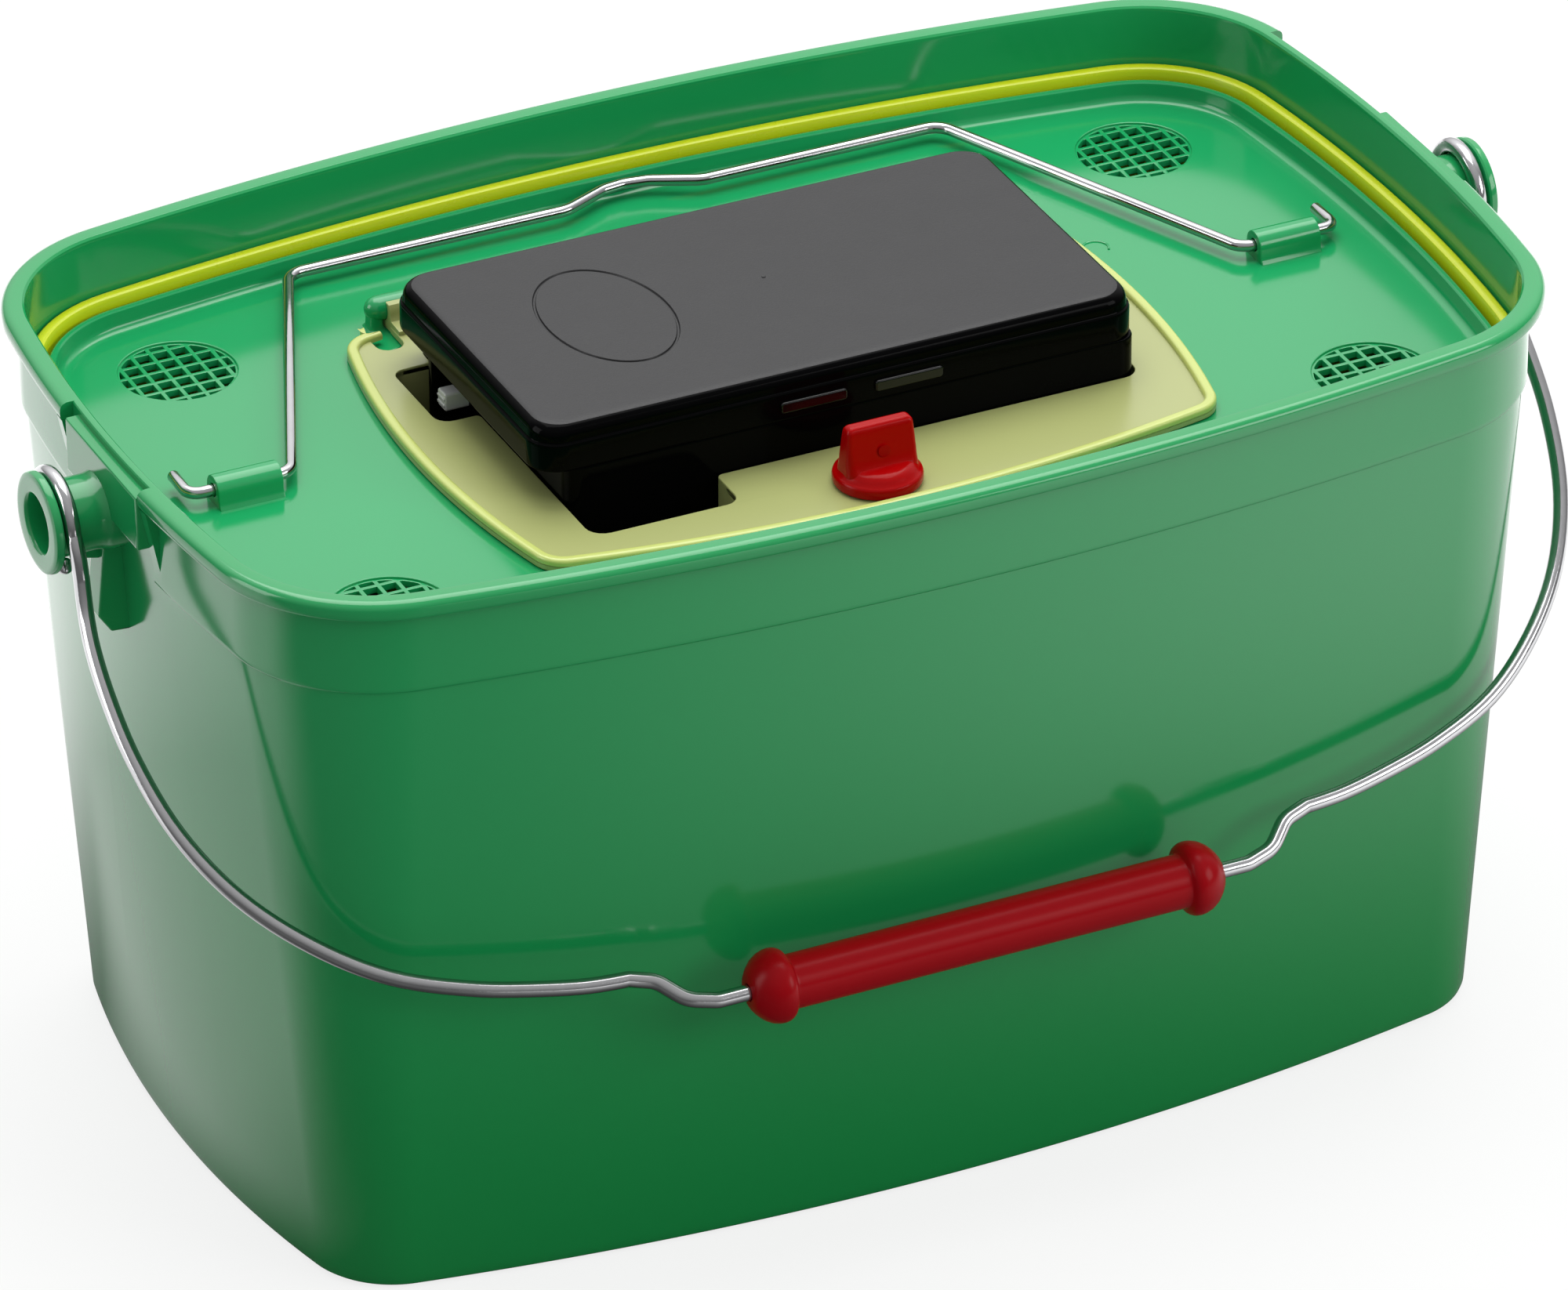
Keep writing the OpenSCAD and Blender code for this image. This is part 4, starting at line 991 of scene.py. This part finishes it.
# ------------------------------------------------------------------ pump
# Rings of the case and cover: inset, z, corner radius.
CASE_RINGS = [
    (3.0, CASE_Z0, 3), (1.2, CASE_Z0 + 0.15, 4.2), (0.35, CASE_Z0 + 0.7, 4.8),
    (0, CASE_Z0 + 1.8, 5), (0, 170, 5), (0, CASE_Z1 - 0.5, 5), (0.2, CASE_Z1 - 0.1, 4.9),
    (0.5, CASE_Z1, 4.8), (1.6, CASE_Z1, 3.8), (1.9, CASE_Z1 - 0.2, 3.5),
    (2.0, CASE_Z1 - 0.6, 3.4), (2.0, 170, 3.4), (2.0, CASE_Z0 + 3, 3.4),
    (2.5, CASE_Z0 + 2, 3.0), (3.6, CASE_Z0 + 1.8, 2.2)]
COVER_RINGS = [
    (1.0, CASE_Z1 + 0.1, 7.4), (0.2, CASE_Z1 + 0.12, 7.6), (-0.15, CASE_Z1 + 0.3, 7.8),
    (-0.3, CASE_Z1 + 0.8, 8), (-0.3, CASE_Z1 + 6.6, 8), (-0.1, CASE_Z1 + 7.2, 7.9),
    (0.25, CASE_Z1 + 7.5, 7.7), (0.4, CASE_Z1 + 7.9, 7.6), (0.5, CASE_Z1 + 9.2, 7.5),
    (0.8, CASE_Z1 + 10.3, 7.4), (1.4, CASE_Z1 + 11.15, 7.2), (2.2, CASE_Z1 + 11.7, 7.0)]
SPIGOT_RINGS = [
    (2.15, CASE_Z1 + 0.1, 3.3), (2.15, CASE_Z1 - 2.8, 3.3), (2.3, CASE_Z1 - 3, 3.2),
    (3.8, CASE_Z1 - 3, 3.0), (3.8, COVER_TOP - 2.2, 3.0), (4.6, COVER_TOP - 1.8, 2.4)]
TOP_RINGS = [(2.2, CASE_Z1 + 11.7, 7.0), (3.2, COVER_TOP - 0.06, 6.8), (4.2, COVER_TOP, 6.5)]
OVAL_X, OVAL_Y, OVAL_HALF_X, OVAL_HALF_Y = -43.1, 2.9, 15.4, 23.9
# Groove across the oval's line: (growth of the oval, z).
OVAL_GROOVE = [(0.62, COVER_TOP), (0.36, COVER_TOP - 0.4), (-0.1, COVER_TOP - 0.4),
               (-0.3, COVER_TOP)]


def pump_rings(left, rows):
    """Rings between x = left and the pump's right face."""
    return [[(x, y, z) for x, y in round_rect(left + inset, PUMP_X1 - inset, PUMP_Y0 + inset,
                                              PUMP_Y1 - inset, radius, 8)]
            for inset, z, radius in rows]


def cell_saddle(x):
    """Rib across the case with a hollow under each cell."""
    section = [(PUMP_Y0 + 1, CASE_Z0 + 1), (PUMP_Y1 - 1, CASE_Z0 + 1)]
    for i in range(41):
        y = PUMP_Y1 - 2 - (PUMP_Y1 - PUMP_Y0 - 4) * i / 40
        z = CASE_Z0 + 6
        for side in (-1, 1):
            dy = y - (PUMP_Y + side * CELL_DY)
            if abs(dy) < 17.4:
                z = min(z, CELL_Z - math.sqrt(17.4 ** 2 - dy * dy))
        section.append((y, max(z, CASE_Z0 + 1.5)))
    return plate(section, [], x, x + 1.6, bevel=0.0, axis="x")


def build_case():
    shape = Shape()
    shape.add(*loft(pump_rings(CASE_X0, CASE_RINGS)))
    # wall at the left of the cells
    wall = [(PUMP_Y0 + 1, CASE_Z0 + 1), (PUMP_Y1 - 1, CASE_Z0 + 1),
            (PUMP_Y1 - 1, CASE_Z0 + 27.8), (PUMP_Y0 + 1, CASE_Z0 + 27.8)]
    shape.add(*plate(wall, [], CELL_WALL_X - 1.6, CELL_WALL_X, bevel=0.3, axis="x"))
    for along in (14, 44, 60):
        shape.add(*cell_saddle(CELL_WALL_X + along))
    # two short posts on the floor
    middle_y = 4.0
    post = [(0, CASE_Z0 + 1), (3.4, CASE_Z0 + 1), (3.2, CASE_Z0 + 7.8), (3.0, CASE_Z0 + 8),
            (0, CASE_Z0 + 8)]
    for side in (-1, 1):
        shape.add(*lathe(post, "z", (CASE_X0 + 48, middle_y + side * 16.2, 0), 24))
    # pair of upright cheeks, each with a round hole
    cheek = round_rect(middle_y + 22.8, middle_y + 31.2, CASE_Z0 + 1, CASE_Z0 + 18, 0.8, 3)
    for x0, x1 in ((15.3, 18.15), (21.25, 24.1)):
        shape.add(*plate(cheek, [circle(middle_y + 27, CASE_Z0 + 12.9, 1.52, 20)],
                         CASE_X0 + x0, CASE_X0 + x1, bevel=0.25, seg=2, axis="x"))
    # shelf and upright beside the switch
    guard = round_poly([(9.0, 168.0), (24.2, 168.0), (24.2, CASE_Z1 - 0.4),
                        (22.2, CASE_Z1 - 0.4), (22.2, 170.0), (9.0, 170.0)],
                       [0.7, 0.7, 0.5, 0.5, 0.9, 0.7], 3)
    shape.add(*plate(guard, [], COVER_X0 + 0.8, CASE_X0 + 1.0, bevel=0.35, seg=2, axis="x"))
    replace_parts(shape.build("pump_base", [BLACK], "pump"), "pump_case")


def build_cover():
    gloss, satin, catch = range(3)
    shape = Shape()
    rim = pump_rings(COVER_X0, COVER_RINGS)
    spigot = pump_rings(CASE_X0, SPIGOT_RINGS)
    top = pump_rings(COVER_X0, TOP_RINGS)
    shape.add(*loft(rim, cap_start=False, cap_end=False), gloss)
    shape.add(*flat_ring(rim[0], spigot[0], step=-1), gloss)
    shape.add(*loft(spigot, cap_start=False), gloss)
    shape.add(*loft(top, cap_start=False, cap_end=False), satin)
    angles = [2 * pi * i / 72 for i in range(72)]
    groove = [[(OVAL_X + (OVAL_HALF_X + grow) * math.cos(t),
                OVAL_Y + (OVAL_HALF_Y + grow) * math.sin(t), z) for t in angles]
              for grow, z in OVAL_GROOVE]
    shape.add(*flat_ring(top[-1], groove[0]), satin)
    shape.add(*loft(groove, cap_start=False), satin)
    # raised dot near the middle of the top
    shape.add(*lathe([(0, 0.0), (0.55, 0.0), (0.5, 0.18), (0.2, 0.26), (0, 0.27)], "z",
                     (-0.8, 4.0, COVER_TOP - 0.02), 16), satin)
    # tabs on the front
    for x0, x1 in ((-19.0, -1.4), (6.0, 24.0)):
        shape.add(*plate(round_rect(x0, x1, CASE_Z1 + 2.4, CASE_Z1 + 5.4, 0.9, 4), [],
                         -PUMP_Y0 - 0.6, -PUMP_Y0 + 1.15, bevel=0.5, axis="y"), catch)
    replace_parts(shape.build("pump_lid", [BLACK, BLACK_SATIN, BLACK_CATCH], "cover"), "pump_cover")


def build_switch():
    shape = Shape()
    shape.add(*plate(round_rect(11.5, 22.5, 171.5, 182.0, 0.8, 3), [], CASE_X0 + 2.2,
                     CASE_X0 + 4.0, bevel=0.3, seg=2, axis="x"))
    shape.add(*plate(round_rect(15.4, 20.0, 174.2, 178.9, 0.7, 3), [], CASE_X0 - 6.2,
                     CASE_X0 + 2.6, bevel=0.5, axis="x"))
    for z in (175.3, 177.0):    # ridges on the button's face
        shape.add(*plate(round_rect(15.7, 19.7, z, z + 0.7, 0.3, 2), [], CASE_X0 - 6.5,
                         CASE_X0 - 5.7, bevel=0.15, seg=2, axis="x"))
    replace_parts(shape.build("switch_button", [GREY], "switch"), "switch_slider")


# ------------------------------------------------------------------ carrying bail
EYE_R = BOSS_R + 0.12 + BAIL_WIRE_R     # wire's centre line round the boss, with clearance
EYE_X = 187.6
# Right half of the bail: x, reach from the boss axis, drop below the bail's plane.
BAIL_HEAD = [(0, BAIL_REACH, 0), (70.5, BAIL_REACH, 0), (77.8, 151.4, 0), (83.6, 145.2, 0),
             (90, 143.1, 0)]
BAIL_HEAD_RADII = [0, 7, 9, 7, 0]
BAIL_ARM = [(90, 143.1, 0), (100, 142.3, 0), (114, 139.6, 0), (128, 135.9, 0),
            (146.5, 128.2, 0), (162, 116.3, 0), (175.2, 100.8, 0), (184.2, 82.4, 0),
            (188.6, 62.6, 0), (189.7, 46, 0), (189.3, 33, 0), (188.2, 24.5, -0.4),
            (EYE_X, 17.4, -3.6)]
# Left end of the grip: (radius, x from its middle), outer face inwards to the tube.
GRIP_END = [(2.2, -62.5), (3.6, -62.4), (4.8, -62.0), (6.2, -61.0), (7.6, -59.6),
            (8.6, -58.0), (9.1, -56.4), (9.2, -55.2), (9.05, -54.2), (8.6, -53.3),
            (7.9, -52.75), (7.2, -52.5), (6.85, -52.2), (6.7, -51.6)]


def bail_point(x, reach, drop=0.0):
    """Point of the bail, turned down to its rest."""
    return (x, -reach * math.cos(BAIL_REST) + drop * math.sin(BAIL_REST),
            EAR_Z - reach * math.sin(BAIL_REST) - drop * math.cos(BAIL_REST))


def build_bail():
    head = fillet(BAIL_HEAD, BAIL_HEAD_RADII, 6)
    arm = catmull(BAIL_ARM, 6)
    eye = [Vector((EYE_X, EYE_R * math.cos(t), -EYE_R * math.sin(t)))
           for t in [math.radians(48 + 9.2 * k) for k in range(33)]]
    lead_in = catmull([arm[-1], (EYE_X, 12.0, -7.0), eye[0]], 4)[1:-1]
    half = head[:-1] + arm + lead_in + eye
    path = [bail_point(-x, reach, drop) for x, reach, drop in half[::-1]]
    path += [bail_point(*p) for p in half[1:]]
    shape = Shape()
    shape.add(*tube(path, BAIL_WIRE_R, 20))
    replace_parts(shape.build("bail", [STEEL], "bail", sharp=60, weighted=False),
                "bail_wire")


def build_grip():
    """Thin tube between two onion-shaped ends, with a bore for the wire."""
    profile = GRIP_END + [(6.7, -30), (6.7, 0), (6.7, 30)]
    profile += [(r, -x) for r, x in GRIP_END[::-1]] + [(2.1, 61.8), (2.1, -61.8)]
    shape = Shape()
    shape.add(*lathe(profile, "x", bail_point(0, BAIL_REACH), 48, closed=True))
    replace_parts(shape.build("grip", [RED_GRIP], "grip", sharp=34), "bail_grip")


# ------------------------------------------------------------------ inside pieces
# Battery cell: (radius, distance from its contact button's face).
CELL_PROFILE = [(0, 0), (4.2, 0), (4.7, 0.5), (4.7, 1.5), (6.5, 1.9), (13.8, 1.6), (15.8, 1.5),
                (16.9, 2.0), (17.1, 3.0), (17.0, 4.5), (17.1, 6), (17.1, 58.0), (16.9, 59.6),
                (16.1, 60.6), (14.6, 61.1), (12.5, 60.8), (9.8, 61.0), (9.5, 61.5), (0, 61.5)]
CELL_CAP_R = 15.5       # faces inside this radius are bare metal
# Stone and the nipple on it: (radius, height).
STONE_PROFILE = [(0, 0.4), (3.5, 0.0), (5.4, 0.3), (6.5, 1.0), (7, 2.2), (7, 18.6),
                 (6.6, 19.6), (5.6, 20.3), (3.6, 20.5), (2.9, 20.7), (2.6, 21.4), (2.0, 22.0),
                 (2.0, 28.4), (1.8, 29), (0, 29)]


def build_cells():
    """Two cells side by side, pointing opposite ways."""
    shape = Shape()
    for side, x in ((-1, CELL_WALL_X + 0.6), (1, PUMP_X1 - 2.65)):
        shape.add(*lathe([(r, -side * along) for r, along in CELL_PROFILE], "x",
                         (x, PUMP_Y + side * CELL_DY, CELL_Z), 64))
    ob = shape.build("cells", [CELL], "pump")
    ob.data.materials.append(ZINC)
    for polygon in ob.data.polygons:
        dy = abs(polygon.center.y / MM - PUMP_Y) - CELL_DY
        if math.hypot(dy, polygon.center.z / MM - CELL_Z) < CELL_CAP_R:
            polygon.material_index = 1
    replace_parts(ob, "battery_cells")


def build_stone():
    shape = Shape()
    shape.add(*lathe(STONE_PROFILE, "z", (HOSE_X, HOSE_Y, 70), 40))
    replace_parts(shape.build("stone", [STONE], "pump", sharp=40), "air_stone")


def build_hose():
    top, foot = CASE_Z0 - 0.5, 92.0
    profile = [(2.1, foot + 0.1), (2.3, foot), (2.8, foot), (3.0, foot + 0.2), (3.0, 110),
               (3.0, 130), (3.0, top - 0.2), (2.8, top), (2.3, top), (2.1, top - 0.1),
               (2.1, 130), (2.1, 110)]
    shape = Shape()
    shape.add(*lathe(profile, "z", (HOSE_X, HOSE_Y, 0), 32, closed=True))
    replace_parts(shape.build("hose", [HOSE], "pump", sharp=50, weighted=False),
                "air_hose")


# ------------------------------------------------------------------ CAD pieces shown as they are
CAD_MATERIALS = {
    "latch_tongue": RED_KNOB, "latch_screw": ZINC, "battery_springs": STEEL,
    "contact_plates": BRASS, "motor": ZINC, "motor_bracket": BLACK_SATIN,
    "bracket_screws": ZINC, "crank": BRASS, "rocker_arm": WHITE, "rocker_pin": ZINC,
    "diaphragm": RUBBER, "air_head": WHITE, "switch_contacts": BRASS, "wiring": WIRE_RED}
UNBEVELLED = ("battery_springs", "wiring")


def dress_cad_pieces():
    for name, mat in CAD_MATERIALS.items():
        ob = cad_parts[name]
        ob.data.materials.clear()
        ob.data.materials.append(mat)
        for polygon in ob.data.polygons:
            polygon.material_index = 0
        if name not in UNBEVELLED:
            bevel = ob.modifiers.new("edge", "BEVEL")
            bevel.width = 0.00018
            bevel.segments = 2
            bevel.limit_method = "ANGLE"
            bevel.angle_limit = math.radians(35)


# ------------------------------------------------------------------ floor, lights, camera (m)
def floor_painted_glow(tree):
    """Painted reflection: strength of the glowing floor as only the glossy walls reflect it, by
    place.
    """
    position = node(tree, "NewGeometry").outputs["Position"]
    # painted shade: dark under the bucket, lighter away from it; the divisor is the bucket's half
    # size
    scaled = node(tree, "VectorMath", {0: position, 1: (0.175, 0.112, 1)}, operation="DIVIDE")
    distance = node(tree, "VectorMath", {0: scaled.outputs[0]}, operation="LENGTH")
    away = map_range(tree, distance.outputs["Value"], from_min=0.70, from_max=2.8,
                     to_min=0.05, to_max=1.25)
    axes = node(tree, "SeparateXYZ", {0: position})
    # painted reflection, in front: darker to the left, lighter to the right; even towards the back
    rightward = map_range(tree, axes.outputs["X"], from_min=-0.20, from_max=0.34,
                          to_min=0.16, to_max=1.5)
    backward = map_range(tree, axes.outputs["Y"], from_min=-0.14, from_max=0.02)
    around = math_node(tree, "MULTIPLY", away, mix_float(tree, backward, rightward, 1.35))
    # a painted light patch beyond the left end, fading towards the front
    left = map_range(tree, axes.outputs["X"], from_min=-0.150, from_max=-0.178, to_max=1.05)
    left_back = map_range(tree, axes.outputs["Y"], from_min=-0.135, from_max=0.015)
    patch = math_node(tree, "MULTIPLY", left, left_back)
    return math_node(tree, "MAXIMUM", around, patch)


def floor_material():
    """Pale floor; the camera, glossy rays and all other rays each see their own version."""
    white = (1, 1, 1, 1)
    mat = plastic("floor", (0.88, 0.88, 0.875), rough=0.7, vary=0.012, vary_scale=2.0, bump=0.0)
    tree = mat.node_tree
    rays = node(tree, "LightPath").outputs
    bounce = node(tree, "BsdfDiffuse", {"Color": (0.42, 0.42, 0.42, 1)}).outputs[0]
    glow = node(tree, "Emission", {"Color": white, "Strength": floor_painted_glow(tree)}).outputs[0]
    unseen = mix_shader(tree, rays["Is Glossy Ray"], bounce, glow)
    lift = node(tree, "Emission", {"Color": white, "Strength": 1.0}).outputs[0]
    seen = mix_shader(tree, 0.80, tree.nodes["Principled BSDF"].outputs[0], lift)
    feed(tree, tree.nodes["Material Output"].inputs["Surface"],
         mix_shader(tree, rays["Is Camera Ray"], unseen, seen))
    return mat


def build_floor():
    mesh = bpy.data.meshes.new("floor")
    mesh.from_pydata([(-8, -8, 0), (8, -8, 0), (8, 8, 0), (-8, 8, 0)], [], [(0, 1, 2, 3)])
    mesh.materials.append(floor_material())
    floor = bpy.data.objects.new("floor", mesh)
    floor.location.z = -0.0004
    SCENE.collection.objects.link(floor)


def build_world():
    """Grey sky, brighter overhead; glossy rays also see a bright patch at the back right."""
    world = bpy.data.worlds.new("studio")
    SCENE.world = world
    world.use_nodes = True
    tree = world.node_tree
    direction = node(tree, "TexCoord").outputs["Generated"]
    height = node(tree, "SeparateXYZ", {0: direction}).outputs["Z"]
    ramp = node(tree, "ValToRGB", {0: height})
    low, high = ramp.color_ramp.elements
    low.position, low.color = 0.0, (0.30, 0.30, 0.30, 1)
    high.position, high.color = 0.9, (1.0, 1.0, 1.0, 1)
    glossy = node(tree, "LightPath").outputs["Is Glossy Ray"]
    unit = node(tree, "VectorMath", {0: direction}, operation="NORMALIZE").outputs[0]
    facing = node(tree, "VectorMath", {0: unit, 1: (0.369, 0.779, 0.506)},
                  operation="DOT_PRODUCT").outputs["Value"]
    patch = map_range(tree, facing, from_min=0.35, from_max=0.93, to_min=0.75, to_max=2.3)
    background = tree.nodes["Background"]
    feed(tree, background.inputs["Color"], ramp.outputs[0])
    feed(tree, background.inputs["Strength"], mix_float(tree, glossy, 0.85, patch))


def area_light(name, place, target, width, height, power):
    light = bpy.data.lights.new(name, "AREA")
    light.shape = "RECTANGLE"
    light.size = width
    light.size_y = height
    light.energy = power
    ob = bpy.data.objects.new(name, light)
    ob.location = place
    ob.rotation_euler = (Vector(target) - Vector(place)).to_track_quat("-Z", "Y").to_euler()
    SCENE.collection.objects.link(ob)
    return ob


def build_lights():
    area_light("key_top", place=(0.25, 0.45, 1.75), target=(0, 0, 0.12), width=1.5, height=1.5,
               power=24)
    left = area_light("side_left", place=(-1.7, 0.35, 0.75), target=(0, 0, 0.1), width=0.9,
                      height=1.2, power=13)
    left.visible_diffuse = False
    area_light("fill_right", place=(1.5, -1.7, 1.1), target=(0, 0, 0.1), width=1.3, height=1.0,
               power=19)


def build_camera():
    yaw, pitch, roll = (math.radians(a) for a in (-25.32, 30.43, -0.34))
    place = (-1.0350, -2.1922, 1.5208)
    back = Vector((math.sin(yaw) * math.cos(pitch), -math.cos(yaw) * math.cos(pitch),
                   math.sin(pitch)))
    level = Vector((math.cos(yaw), math.sin(yaw), 0))
    upright = back.cross(level)
    right = math.cos(roll) * level + math.sin(roll) * upright
    up = -math.sin(roll) * level + math.cos(roll) * upright
    data = bpy.data.cameras.new("camera")
    data.sensor_width = 36
    data.lens = 263.0682
    data.clip_start = 0.05
    data.clip_end = 40
    camera = bpy.data.objects.new("camera", data)
    camera.matrix_world = Matrix((*zip(right, up, back, place), (0, 0, 0, 1)))
    SCENE.collection.objects.link(camera)
    SCENE.camera = camera


build_tub()
build_strainer()
build_lid()
build_lid_wire()
build_hatch()
build_knob()
build_case()
build_cover()
build_switch()
build_bail()
build_grip()
build_cells()
build_stone()
build_hose()
dress_cad_pieces()
build_floor()
build_world()
build_lights()
build_camera()
SCENE.view_settings.view_transform = "Standard"
SCENE.view_settings.look = "None"
